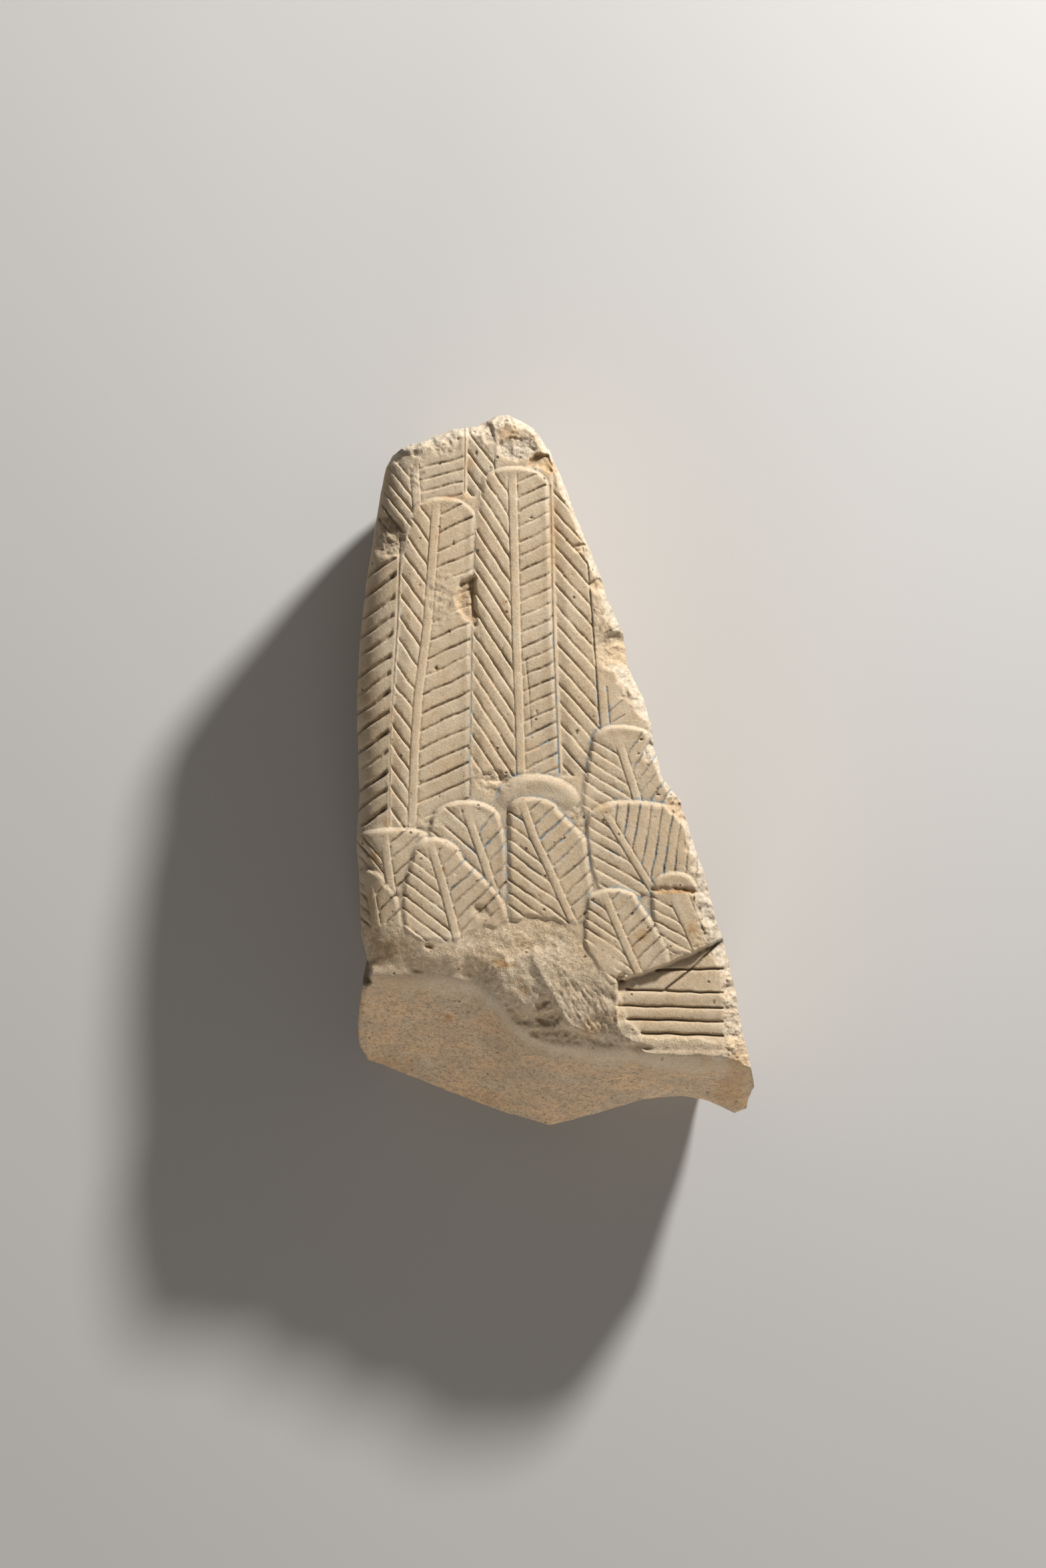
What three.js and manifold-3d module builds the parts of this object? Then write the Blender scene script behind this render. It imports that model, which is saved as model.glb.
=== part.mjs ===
// Loose fragment of a carved limestone relief: overlapping wing feathers with their tips towards +Y,
// and the start of a banded edge at the lower right. It lies on its broken back, carved face up.
// Millimetres, +X right, +Y towards the feather tips, +Z out of the carved face.
// The origin is under the middle of the fragment, on the surface that it lies on.

import * as THREE from 'three';
import * as BufferGeometryUtils from 'three/addons/utils/BufferGeometryUtils.js';
import Module from 'manifold-3d';

const wasm = await Module();
wasm.setup();

// Driving sizes
const HEIGHT = 120;                 // longest side of the fragment, along Y
const THICKNESS = 40;               // from the back to the carved face, without the raised feathers
const FEATHER_STEP = 0.9;           // how far a feather's tip stands above the one behind it
const FEATHER_SINK = 0.75;          // share of that step that a feather loses towards its base
const BARB_WIDTH = 0.6;             // grooves between the barbs
const BARB_DEPTH = 0.38;
const BARB_START = 0.2;             // plain stone between a barb groove and the shaft line
const SHAFT_WIDTH = 0.5;            // fine lines on both sides of a feather's shaft
const SHAFT_DEPTH = 0.38;
const EDGE_WIDTH = 0.7;             // line between two feathers that lie side by side
const EDGE_DEPTH = 0.5;
const BAND_DROP = 1.6;              // the banded edge lies this far below the feathers
const BAND_WIDTH = 0.75;            // its long straight lines
const BAND_DEPTH = 0.7;
const SIDE_RADIUS = 8;              // the left side turns away from the face on this radius
const BROKEN_RIM = 2.4;             // drop of the face at the broken right and top edges
const RIM_RUN = 2.6;                // width of that drop, seen from the front
const CLIFF = 0.6;                  // small drop where the carving breaks off at its lower end
const BACK_INSET = 6.5;             // the back is this much smaller than the outline, all round
const CUT_MARGIN = 2;               // cutting shapes reach past the stone by this much

// The outline and the carving are drawn in units of which the fragment is 1071 tall.
// Across is counted to the right and down is counted downwards, as on a drawing sheet.
const DRAWN = { left: 533, right: 1132, top: 621, bottom: 1692 };
const UNIT = HEIGHT / (DRAWN.bottom - DRAWN.top);
const MIDDLE_ACROSS = (DRAWN.left + DRAWN.right) / 2;
const MIDDLE_DOWN = (DRAWN.top + DRAWN.bottom) / 2;

// Broken outline, clockwise from the top left corner
const OUTLINE = [
  [588, 683], [602, 670], [632, 660], [680, 641], [716, 638], [742, 622], [762, 621], [800, 640],
  [824, 675], [847, 727], [864, 773], [884, 820], [903, 868], [914, 905], [935, 947], [943, 1000],
  [965, 1045], [979, 1090], [982, 1120], [996, 1167], [1022, 1202], [1036, 1250], [1058, 1312],
  [1074, 1375], [1098, 1455], [1113, 1540], [1129, 1610], [1132, 1632], [1120, 1664], [1103, 1672],
  [1060, 1652], [1022, 1646], [965, 1652], [900, 1672], [825, 1692], [745, 1669], [690, 1647],
  [620, 1620], [550, 1592], [536, 1570], [534, 1535], [544, 1462], [549, 1437], [540, 1400],
  [537, 1310], [533, 1262], [538, 1195], [535, 1105], [534, 1040], [539, 955], [549, 868], [561, 792],
  [570, 738], [578, 700],
];
// Its top edge, its left and right side between these heights, and the line that its sides are drawn
// in towards at the back
const TOP_EDGE = [[588, 668], [680, 641], [750, 621], [800, 640], [824, 600]];
const LEFT_SIDE = { top: 683, bottom: 1535 };
const RIGHT_SIDE = { top: 640, bottom: 1630 };
const SPINE_TOP = [712, 760];
const SPINE_BOTTOM = [830, 1500];

// Lines across the fragment, from left to right: where the carving breaks off, where the rough break
// ends in a ridge, and where the lower break meets the outline. Ridge and foot also hold a height,
// as a share of the thickness.
const CARVING_END = [
  [520, 1388], [565, 1395], [605, 1400], [650, 1420], [682, 1420], [700, 1400], [745, 1387], [792, 1374],
  [845, 1378], [868, 1400], [882, 1466], [925, 1487], [938, 1520], [965, 1557], [1150, 1560],
];
const RIDGE = [
  [520, 1462, 0.9], [600, 1467, 0.9], [700, 1473, 0.88], [750, 1520, 0.85], [820, 1566, 0.81],
  [900, 1583, 0.8], [1020, 1595, 0.85], [1150, 1602, 0.87],
];
const FOOT = [
  [520, 1598, 0.12], [620, 1632, 0.1], [745, 1682, 0.09], [825, 1704, 0.09], [900, 1686, 0.14],
  [1020, 1658, 0.28], [1120, 1684, 0.36], [1150, 1684, 0.36],
];

// Feathers, from the ones at the back to the ones in front. Rows give: down, left edge, shaft, right
// edge. Barbs give: slope of a barb, first barb on the shaft, and pitch along the shaft.
// A feather with no tip is cut by the outline or by its neighbours, and lies level with the face.
const FEATHERS = [
  { rows: [[655, 588, 619, 697], [720, 577, 622, 695], [800, 562, 628, 690]],
    left: { slope: 1.25, first: 718, pitch: 26 }, right: { slope: 0.27, first: 703, pitch: 18 } },
  { rows: [[640, 700, 748, 748], [745, 698, 748, 748]],
    left: { slope: 1.3, first: 660, pitch: 36 } },
  { rows: [[835, 541, 541, 598], [1000, 534, 534, 590], [1240, 534, 534, 583]],
    right: { slope: 0.7, first: 873, pitch: 28.5 } },
  { rows: [[705, 827, 872, 880], [860, 830, 889, 935], [960, 833, 897, 950], [1085, 838, 906, 948],
           [1165, 842, 912, 918]],
    left: { slope: 1.12, first: 786, pitch: 31 } },
  { tip: [662, 744], lift: 0.6,
    rows: [[778, 614, 652, 714], [850, 601, 647, 710], [940, 597, 640, 706], [1040, 589, 627, 705],
           [1110, 585, 622, 704], [1245, 583, 617, 703]],
    left: { slope: 1.35, first: 783, pitch: 31 }, right: { slope: 0.46, first: 773, pitch: 27 } },
  { tip: [768, 698], lift: 0.8,
    rows: [[728, 721, 768, 823], [800, 712, 770, 825], [960, 708, 774, 829], [1060, 706, 778, 834],
           [1165, 704, 781, 838]],
    left: { slope: 1.52, first: 738, pitch: 33.5 }, right: { slope: 0.47, first: 724, pitch: 22.5 } },
  { tip: [925, 1086], lift: 1,
    rows: [[1112, 886, 927, 985], [1145, 880, 938, 1010], [1182, 874, 950, 1045], [1225, 872, 962, 1060]],
    left: { slope: 0.62, first: 1133, pitch: 22 }, right: { slope: 1.4, first: 1132, pitch: 20 } },
  { tip: [800, 1158], lift: 1,
    rows: [[1190, 750, 790, 872], [1260, 748, 800, 884]] },
  { tip: [700, 1199], lift: 1,
    rows: [[1232, 645, 704, 752], [1262, 638, 715, 759], [1290, 632, 725, 760], [1350, 625, 744, 760]],
    left: { slope: 0.83, first: 1240, pitch: 38 }, right: { slope: 1.05, first: 1248, pitch: 22 } },
  { tip: [600, 1240], lift: 0.9,
    rows: [[1255, 530, 576, 645], [1285, 530, 579, 640], [1345, 530, 588, 618]],
    left: { slope: 1.2, first: 1288, pitch: 22 }, right: { slope: 0.9, first: 1267, pitch: 22 } },
  { tip: [935, 1199], lift: 1,
    rows: [[1235, 877, 917, 1042], [1266, 878, 936, 1056], [1302, 885, 958, 1070], [1345, 900, 985, 1080]],
    left: { slope: 0.56, first: 1238, pitch: 29 }, right: { slope: 6, first: 1232, pitch: 21.6 } },
  { tip: [790, 1194], lift: 1.1,
    rows: [[1215, 760, 786, 838], [1255, 760, 800, 880], [1298, 760, 821, 884], [1340, 760, 839, 891],
           [1385, 762, 860, 893]],
    left: { slope: 0.72, first: 1233, pitch: 30 }, right: { slope: 0.92, first: 1218, pitch: 20.5 } },
  { tip: [645, 1254], lift: 1.1,
    rows: [[1285, 617, 651, 693], [1320, 606, 662, 730], [1350, 601, 670, 756], [1412, 606, 686, 772]],
    left: { slope: 0.76, first: 1292, pitch: 26 }, right: { slope: 1, first: 1278, pitch: 20 } },
  { tip: [550, 1303], lift: 1,
    rows: [[1322, 530, 551, 577], [1345, 530, 557, 597], [1400, 530, 566, 606]],
    right: { slope: 1, first: 1342, pitch: 25 } },
  { tip: [1012, 1306], lift: 1.1,
    rows: [[1330, 977, 1005, 1045], [1358, 975, 1014, 1075], [1390, 980, 1030, 1085],
           [1432, 990, 1048, 1090]],
    left: { slope: 0.52, first: 1362, pitch: 22 } },
  { tip: [918, 1331], lift: 1.2,
    rows: [[1350, 880, 909, 957], [1378, 876, 921, 977], [1422, 874, 940, 1002], [1480, 872, 966, 1012]],
    left: { slope: 0.68, first: 1366, pitch: 22 }, right: { slope: 0.95, first: 1350, pitch: 18 } },
];
const SHAFT_HALF = 7;               // half the plain strip between a feather's two shaft lines, drawn
const BARB_GAP = 3;                 // a barb groove stops this far from the feather's edge, drawn
const TIP_STEPS = [0.04, 0.22, 0.55, 1];      // rows of a rounded tip, as shares of its length

// Lines between feathers that lie side by side
const EDGE_LINES = [
  [[697, 640], [696, 738]],
  [[602, 800], [597, 940], [586, 1100], [583, 1236]],
  [[712, 796], [707, 960], [704, 1192]],
  [[825, 728], [829, 960], [838, 1160]],
];

// Banded edge: its border against the feathers, its straight lines, and the curved line above them
const BAND_BORDER = [[925, 1472], [980, 1454], [1030, 1433], [1088, 1407], [1150, 1385]];
const BAND_LINES = [
  [[985, 1455], [1083, 1453]],
  [[940, 1484], [1083, 1489]],
  [[924, 1508], [1083, 1512]],
  [[940, 1528], [1083, 1532]],
  [[962, 1549], [1083, 1553]],
  [[1083, 1425], [1064, 1430], [1040, 1453], [1012, 1478]],
];

// Chips: middle, half sizes as drawn, and depth in millimetres
const CHIPS = [
  { at: [701, 903], half: [13, 36], depth: 1.5 },
  { at: [922, 982], half: [27, 34], depth: 1.3 },
  { at: [580, 803], half: [20, 28], depth: 0.8 },
  { at: [812, 692], half: [17, 15], depth: 1.4 },
  { at: [727, 1377], half: [18, 11], depth: 1.5 },
  { at: [1012, 1217], half: [15, 25], depth: 1.1 },
  { at: [930, 1467], half: [6, 6], depth: 1.2 },
];

const CEILING = THICKNESS + 2 * FEATHER_STEP + CUT_MARGIN;      // above everything that is cut

const x = (across) => (across - MIDDLE_ACROSS) * UNIT;
const y = (down) => (MIDDLE_DOWN - down) * UNIT;

// Value of a list of rows [key, ...values] at a key between them
function along(rows, key, column = 1) {
  let next = rows.findIndex((row) => row[0] >= key);
  if (next < 0) next = rows.length - 1;
  if (next === 0) next = 1;
  const [low, high] = [rows[next - 1], rows[next]];
  const share = THREE.MathUtils.clamp((key - low[0]) / (high[0] - low[0]), 0, 1);
  return THREE.MathUtils.lerp(low[column], high[column], share);
}

// The outline's left and right side at a height of the drawing
function side(down, pick) {
  let found;
  OUTLINE.forEach((a, i) => {
    const b = OUTLINE[(i + 1) % OUTLINE.length];
    const [low, high] = a[1] < b[1] ? [a, b] : [b, a];
    if (low[1] === high[1] || down < low[1] || down > high[1]) return;
    const across = THREE.MathUtils.lerp(low[0], high[0], (down - low[1]) / (high[1] - low[1]));
    found = found === undefined ? across : pick(found, across);
  });
  return found;
}
const leftSide = (down) => side(THREE.MathUtils.clamp(down, LEFT_SIDE.top, LEFT_SIDE.bottom), Math.min);
const rightSide = (down) => side(THREE.MathUtils.clamp(down, RIGHT_SIDE.top, RIGHT_SIDE.bottom), Math.max);
const topSide = (across) => along(TOP_EDGE, across);

// Height of the carved face: level, turned away on a radius at the left, broken off at the right
function faceHeight(across, down) {
  const fromLeft = THREE.MathUtils.clamp((across - leftSide(down)) * UNIT, 0, SIDE_RADIUS);
  const turned = SIDE_RADIUS - Math.sqrt(SIDE_RADIUS ** 2 - (SIDE_RADIUS - fromLeft) ** 2);
  const fromRight = THREE.MathUtils.clamp((rightSide(down) - across) * UNIT / RIM_RUN, 0, 1);
  const fromTop = THREE.MathUtils.clamp((down - topSide(across)) * UNIT / RIM_RUN, 0, 1);
  const broken = BROKEN_RIM * (1 - Math.min(fromRight, fromTop));
  return THICKNESS - Math.max(turned, broken);
}

// A solid between two grids of points [x, y, z], one above the other. Rows run down, columns right.
function slab(upper, lower) {
  const rows = upper.length;
  const columns = upper[0].length;
  const points = [...upper.flat(), ...lower.flat()];
  const top = (r, c) => r * columns + c;
  const low = (r, c) => rows * columns + top(r, c);
  const faces = [];
  const quad = (a, b, c, d) => faces.push([a, b, c], [a, c, d]);
  for (let r = 0; r < rows - 1; r++) {
    for (let c = 0; c < columns - 1; c++) {
      quad(top(r, c), top(r + 1, c), top(r + 1, c + 1), top(r, c + 1));
      quad(low(r, c), low(r, c + 1), low(r + 1, c + 1), low(r + 1, c));
    }
    quad(top(r, 0), low(r, 0), low(r + 1, 0), top(r + 1, 0));
    quad(top(r + 1, columns - 1), low(r + 1, columns - 1), low(r, columns - 1), top(r, columns - 1));
  }
  for (let c = 0; c < columns - 1; c++) {
    quad(top(0, c + 1), low(0, c + 1), low(0, c), top(0, c));
    quad(top(rows - 1, c), low(rows - 1, c), low(rows - 1, c + 1), top(rows - 1, c + 1));
  }
  return solid(points, faces);
}

const levelled = (grid, height) => grid.map((row) => row.map(([px, py]) => [px, py, height]));

function solid(points, faces) {
  return new wasm.Manifold(new wasm.Mesh({
    numProp: 3,
    vertProperties: new Float32Array(points.flat()),
    triVerts: new Uint32Array(faces.flat()),
  }));
}

// A solid from a three.js geometry
function fromGeometry(geometry) {
  geometry.deleteAttribute('normal');
  geometry.deleteAttribute('uv');
  const merged = BufferGeometryUtils.mergeVertices(geometry, 1e-4);
  return new wasm.Manifold(new wasm.Mesh({
    numProp: 3,
    vertProperties: merged.attributes.position.array,
    triVerts: merged.index.array,
  }));
}

// Shell: the outline, upright down to its widest level and drawn in below that to the flat back
const SPINE = new THREE.Line3(...[SPINE_TOP, SPINE_BOTTOM].map(([across, down]) => (
  new THREE.Vector3(x(across), y(down), 0))));
const WAIST_SHARE = 0.6;            // widest level of the sides, as a share of the thickness
const FOOT_WAIST = 0.75;            // the same at the foot of the lower break, as a share of the foot's height
const BELLY = { height: 0.45, inset: 0.3 };   // ring between the widest level and the back, as shares

function shell() {
  const waist = OUTLINE.map(([across, down]) => {
    const foot = FOOT_WAIST * along(FOOT, across, 2);
    const ridge = along(RIDGE, across);
    const share = THREE.MathUtils.clamp((down - ridge) / (along(FOOT, across) - ridge), 0, 1);
    return THICKNESS * THREE.MathUtils.lerp(WAIST_SHARE, Math.min(foot, WAIST_SHARE), share);
  });
  const ring = (height, inset) => OUTLINE.map(([across, down], i) => {
    const point = new THREE.Vector3(x(across), y(down), 0);
    const target = SPINE.closestPointToPoint(point, true, new THREE.Vector3());
    const inward = target.sub(point).setLength(inset);
    return [point.x + inward.x, point.y + inward.y, height(waist[i])];
  });
  const rings = [
    ring(() => 0, BACK_INSET),
    ring((level) => level * BELLY.height, BACK_INSET * BELLY.inset),
    ring((level) => level, 0),
    ring(() => CEILING, 0),
  ];
  const count = OUTLINE.length;
  const faces = [];
  for (let r = 0; r < rings.length - 1; r++) {
    for (let i = 0; i < count; i++) {
      const j = (i + 1) % count;
      const [a, b, c, d] = [r * count + i, r * count + j, (r + 1) * count + j, (r + 1) * count + i];
      faces.push([a, c, b], [a, d, c]);
    }
  }
  const cap = (points, offset, flip) => {
    const shape = points.map(([px, py]) => new THREE.Vector2(px, py));
    for (const [a, b, c] of THREE.ShapeUtils.triangulateShape(shape, [])) {
      faces.push(flip ? [a + offset, c + offset, b + offset] : [a + offset, b + offset, c + offset]);
    }
  };
  cap(rings[0], 0, true);
  cap(rings[rings.length - 1], (rings.length - 1) * count, false);
  return solid(rings.flat(), faces);
}

// Carved face, over the whole stone: a block whose top follows faceHeight()
const FACE_ROWS = [606, 650, 700, 800, 950, 1100, 1250, 1400, 1550, 1710];
const SIDE_SHARES = [0, 0.03, 0.13, 0.32, 0.6, 1];      // columns over the turned left side

function face() {
  const grid = FACE_ROWS.map((down) => {
    const left = leftSide(down);
    const right = rightSide(down);
    const turned = SIDE_SHARES.map((share) => left + share * SIDE_RADIUS / UNIT);
    const columns = [left - CUT_MARGIN / UNIT, ...turned, right - RIM_RUN / UNIT, right,
      right + CUT_MARGIN / UNIT];
    return columns.map((across) => [x(across), y(down), faceHeight(across, down)]);
  });
  return slab(grid, levelled(grid, -CUT_MARGIN));
}

// Broken lower end: everything in front of the rough break and of the steep lower break, to cut away
const BREAK_COLUMNS = 15;
const BREAK_ROWS = [0, 0.5, 1];     // rows from the end of the carving to the ridge, as shares
const BREAK_ROUGHNESS = 0.9;        // unevenness of the rough break, in millimetres

function lowerBreak() {
  const margin = CUT_MARGIN / UNIT;
  const columns = [];
  for (let i = 0; i <= BREAK_COLUMNS; i++) {
    columns.push(THREE.MathUtils.lerp(DRAWN.left - margin, DRAWN.right + margin, i / BREAK_COLUMNS));
  }
  const grid = BREAK_ROWS.map((share) => columns.map((across, i) => {
    const end = along(CARVING_END, across);
    const down = THREE.MathUtils.lerp(end, along(RIDGE, across), share);
    const top = faceHeight(across, end) - CLIFF;
    const ridge = Math.min(THICKNESS * along(RIDGE, across, 2), top);
    const uneven = share > 0 ? BREAK_ROUGHNESS * Math.sin(i * 2.1 + share * 4) : 0;
    return [x(across), y(down), THREE.MathUtils.lerp(top, ridge, share) + uneven];
  }));
  grid.push(columns.map((across) => [x(across), y(along(FOOT, across)), THICKNESS * along(FOOT, across, 2)]));
  return slab(levelled(grid, CEILING), grid);
}

// Top of a feather: it stands proud at its tip and sinks towards its base
function featherTop(feather, across, down) {
  if (!feather.tip) return faceHeight(across, down);
  const base = feather.rows[feather.rows.length - 1][0];
  const share = THREE.MathUtils.clamp((down - feather.tip[1]) / (base - feather.tip[1]), 0, 1);
  return faceHeight(across, down) + FEATHER_STEP * feather.lift * (1 - FEATHER_SINK * share);
}

// Left edge, shaft and right edge of a feather at a height of the drawing, with its rounded tip
function featherRow(feather, down) {
  const [first] = feather.rows;
  if (!feather.tip || down >= first[0]) return [1, 2, 3].map((column) => along(feather.rows, down, column));
  const share = THREE.MathUtils.clamp((down - feather.tip[1]) / (first[0] - feather.tip[1]), 0, 1);
  const width = Math.sqrt(1 - (1 - share) ** 2);
  return [1, 2, 3].map((column) => THREE.MathUtils.lerp(feather.tip[0], first[column], width));
}

const FLAT_VANE = [0, 1];                     // columns between a feather's edge and its shaft
const TURNED_VANE = [0, 0.3, 0.65, 1];        // the same where the stone's left side turns away
const PLATE_DEPTH = 3.5;                      // a feather's plate reaches this far into the stone

function featherPlate(feather) {
  const [first] = feather.rows;
  const tipRows = TIP_STEPS.map((share) => THREE.MathUtils.lerp(feather.tip[1], first[0], share));
  const downs = [...tipRows, ...feather.rows.slice(1).map((row) => row[0])];
  const turned = (first[1] - leftSide(first[0])) * UNIT < SIDE_RADIUS;
  const vane = turned ? TURNED_VANE : FLAT_VANE;
  const grid = downs.map((down) => {
    const [left, shaft, right] = featherRow(feather, down);
    const onLeft = vane.map((share) => THREE.MathUtils.lerp(left, shaft, share));
    const onRight = vane.slice(1).map((share) => THREE.MathUtils.lerp(shaft, right, share));
    return [...onLeft, ...onRight].map((across) => [x(across), y(down), featherTop(feather, across, down)]);
  });
  return slab(grid, levelled(grid, THICKNESS - SIDE_RADIUS - PLATE_DEPTH));
}

// A V groove along drawn points, cut into a surface whose height is given by top()
function groove(points, top, width, depth) {
  const reach = 1.2;                // the cutter stands above the surface by this share of its depth
  const parts = [];
  for (let i = 0; i < points.length - 1; i++) {
    const ends = [points[i], points[i + 1]].map(([across, down]) => new THREE.Vector3(
      x(across), y(down), top(across, down)));
    const run = ends[1].clone().sub(ends[0]).setZ(0);
    if (run.length() < width) continue;
    const aside = new THREE.Vector3(-run.y, run.x, 0).setLength(width * (1 + reach) / 2);
    const corners = ends.flatMap((end) => [
      [end.x + aside.x, end.y + aside.y, end.z + depth * reach],
      [end.x - aside.x, end.y - aside.y, end.z + depth * reach],
      [end.x, end.y, end.z - depth],
    ]);
    parts.push(solid(corners, [[0, 2, 1], [3, 4, 5], [0, 1, 4], [0, 4, 3], [1, 2, 5], [1, 5, 4],
      [2, 0, 3], [2, 3, 5]]));
  }
  return parts;
}

// Barb grooves of one vane: from the shaft line outwards and towards the tip, up to the feather's edge
function vaneBarbs(feather, vane, sign) {
  const base = feather.rows[feather.rows.length - 1][0];
  const column = sign < 0 ? 0 : 2;
  const cuts = [];
  for (let down = vane.first; down < base; down += vane.pitch) {
    const clear = SHAFT_HALF + (SHAFT_WIDTH / 2 + BARB_START) / UNIT;
    const start = featherRow(feather, down)[1] + sign * clear;
    let reach = 0;
    const inside = (step) => {
      const edge = featherRow(feather, down - step * vane.slope)[column];
      return sign * (edge - (start + sign * step)) > BARB_GAP;
    };
    const top = feather.tip ? feather.tip[1] + BARB_GAP : feather.rows[0][0];
    while (inside(reach + 1) && down - (reach + 1) * vane.slope > top) reach += 1;
    cuts.push([[start, down], [start + sign * reach, down - reach * vane.slope]]);
  }
  return cuts;
}

function featherCuts(feather) {
  const top = (across, down) => featherTop(feather, across, down);
  const cuts = [];
  for (const [vane, sign] of [[feather.left, -1], [feather.right, 1]]) {
    if (!vane) continue;
    const first = Math.max(feather.rows[0][0], vane.first - vane.pitch);
    const downs = [first, ...feather.rows.map((row) => row[0]).filter((down) => down > first)];
    const line = downs.map((down) => [featherRow(feather, down)[1] + sign * SHAFT_HALF, down]);
    cuts.push(...groove(line, top, SHAFT_WIDTH, SHAFT_DEPTH));
    for (const barb of vaneBarbs(feather, vane, sign)) cuts.push(...groove(barb, top, BARB_WIDTH, BARB_DEPTH));
  }
  return cuts;
}

// Banded edge: a floor below the feathers, from their border down to the broken lower end
function bandFloor() {
  const end = along(CARVING_END, DRAWN.right) + CUT_MARGIN / UNIT;
  const grid = [BAND_BORDER.map(([across, down]) => [x(across), y(down), THICKNESS - BAND_DROP]),
    BAND_BORDER.map(([across]) => [x(across), y(end), THICKNESS - BAND_DROP])];
  return slab(levelled(grid, CEILING), grid);
}

function bandCuts() {
  const top = () => THICKNESS - BAND_DROP;
  return BAND_LINES.flatMap((line) => groove(line, top, BAND_WIDTH, BAND_DEPTH));
}

// A chip is a hollow with the shape of a flattened ball
function chip({ at, half, depth }) {
  const ball = new THREE.SphereGeometry(1, 8, 4);
  ball.rotateX(Math.PI / 2);
  ball.scale(half[0] * UNIT, half[1] * UNIT, depth);
  ball.translate(x(at[0]), y(at[1]), faceHeight(at[0], at[1]) + depth * 0.15);
  return fromGeometry(ball);
}

function subtractAll(body, cuts) {
  return cuts.reduce((rest, cut) => rest.subtract(cut), body);
}

function fragment() {
  let body = face();
  for (const feather of FEATHERS) {
    if (feather.tip) body = body.add(featherPlate(feather));
    body = subtractAll(body, featherCuts(feather));
  }
  for (const line of EDGE_LINES) body = subtractAll(body, groove(line, faceHeight, EDGE_WIDTH, EDGE_DEPTH));
  body = body.subtract(bandFloor());
  body = subtractAll(body, [...bandCuts(), lowerBreak(), ...CHIPS.map(chip)]);
  return body.intersect(shell());
}

function toGeometry(manifold) {
  const mesh = manifold.getMesh();
  const geometry = new THREE.BufferGeometry();
  geometry.setAttribute('position', new THREE.BufferAttribute(new Float32Array(mesh.vertProperties), 3));
  geometry.setIndex(new THREE.BufferAttribute(new Uint32Array(mesh.triVerts), 1));
  return geometry;
}

const limestone = new THREE.MeshStandardMaterial({ color: 0xcdb996, roughness: 0.9, metalness: 0 });
const stone = new THREE.Mesh(toGeometry(fragment()), limestone);
stone.name = 'stone_fragment';

const part = new THREE.Group();
part.add(stone);

export default part;
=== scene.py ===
import math

import bmesh
import bpy
import numpy as np
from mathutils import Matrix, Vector
from mathutils.geometry import delaunay_2d_cdt


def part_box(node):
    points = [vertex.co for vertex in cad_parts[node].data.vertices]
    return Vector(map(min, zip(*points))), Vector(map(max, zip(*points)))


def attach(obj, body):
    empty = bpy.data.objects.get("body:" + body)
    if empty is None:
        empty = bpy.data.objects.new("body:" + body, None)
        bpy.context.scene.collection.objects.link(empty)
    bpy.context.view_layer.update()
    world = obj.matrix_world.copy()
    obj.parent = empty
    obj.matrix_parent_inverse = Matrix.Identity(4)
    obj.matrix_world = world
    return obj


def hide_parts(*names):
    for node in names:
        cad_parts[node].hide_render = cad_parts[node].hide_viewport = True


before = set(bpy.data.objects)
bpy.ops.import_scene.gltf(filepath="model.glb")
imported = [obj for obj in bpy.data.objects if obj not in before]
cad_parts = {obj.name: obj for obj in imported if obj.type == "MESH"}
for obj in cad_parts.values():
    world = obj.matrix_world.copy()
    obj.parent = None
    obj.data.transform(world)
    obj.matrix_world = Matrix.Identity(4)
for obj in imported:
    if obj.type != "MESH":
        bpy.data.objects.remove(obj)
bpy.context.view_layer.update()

# Looks of a loose limestone fragment with carved wing feathers. It lies on its back, face up, and the
# camera looks straight down on it. The fine surface is one mesh, worked out from a height sheet.

# Sizes in millimetres, unless a name says otherwise. The stone's length and height come from its part in
# model.glb.
MM = 0.001
NODE = "stone_fragment"
LOW, HIGH = (Vector(corner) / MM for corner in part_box(NODE))
THICKNESS = 40.0                # back to carved face, without the raised feathers
FEATHER_STEP = 0.9              # a feather's tip stands this far above the one behind it
FEATHER_SINK = 0.75             # share of that step that a feather loses towards its base
LIP = 0.16                      # a tip's rounded rim stands this far above the vanes behind it
TIP_ROUND = 3.4                 # how softly a tip's edge is rounded, drawn
LIP_RUN = 11                    # width of that rim, drawn
TUCK_RUN = 20                   # a long feather sinks under its left neighbour over this width, drawn
BARB_DEPTH = 0.38               # barbs overlap like shingles: a sharp upper edge, then a slope down
BARB_WALL = 0.2                 # width of the steep wall under a barb's upper edge
BARB_SLOPE = 0.42               # width of the slope into the groove
BARB_SLANT = 0.12               # fall of a barb between the two
SHAFT_WIDTH, SHAFT_DEPTH = 0.4, 0.24
EDGE_WIDTH, EDGE_DEPTH = 0.42, 0.24
CUT_WIDTH, CUT_DEPTH = 0.34, 0.2
SHAFT_RIB = 0.04                # rise of a shaft between its two lines
HOLLOW_UNEVEN = 0.16            # unevenness of a hollow's floor
BAND_DROP = 1.6                 # the banded edge lies this far below the feathers
BAND_WIDTH, BAND_DEPTH = 0.62, 0.8
BAND_TOP, BAND_PITCH = 1484, 22.5       # upper edge of its raised strips, and their pitch, drawn
BAND_CROWN = 0.22               # rise of each strip at its middle
SIDE_RADIUS = 8.0               # the left side turns away from the face on this radius
SIDE_CURVE = 2.7                # 2 would be an arc, more stays level longer
BROKEN_RIM = 2.4                # drop of the face at the broken right and top edges
BACK_INSET = 6.5                # the back is this much smaller than the outline
WAIST_SHARE = 0.6               # widest level of the sides, as a share of the thickness
BACK_UNEVEN = 0.35              # the back rises by up to this much

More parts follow.
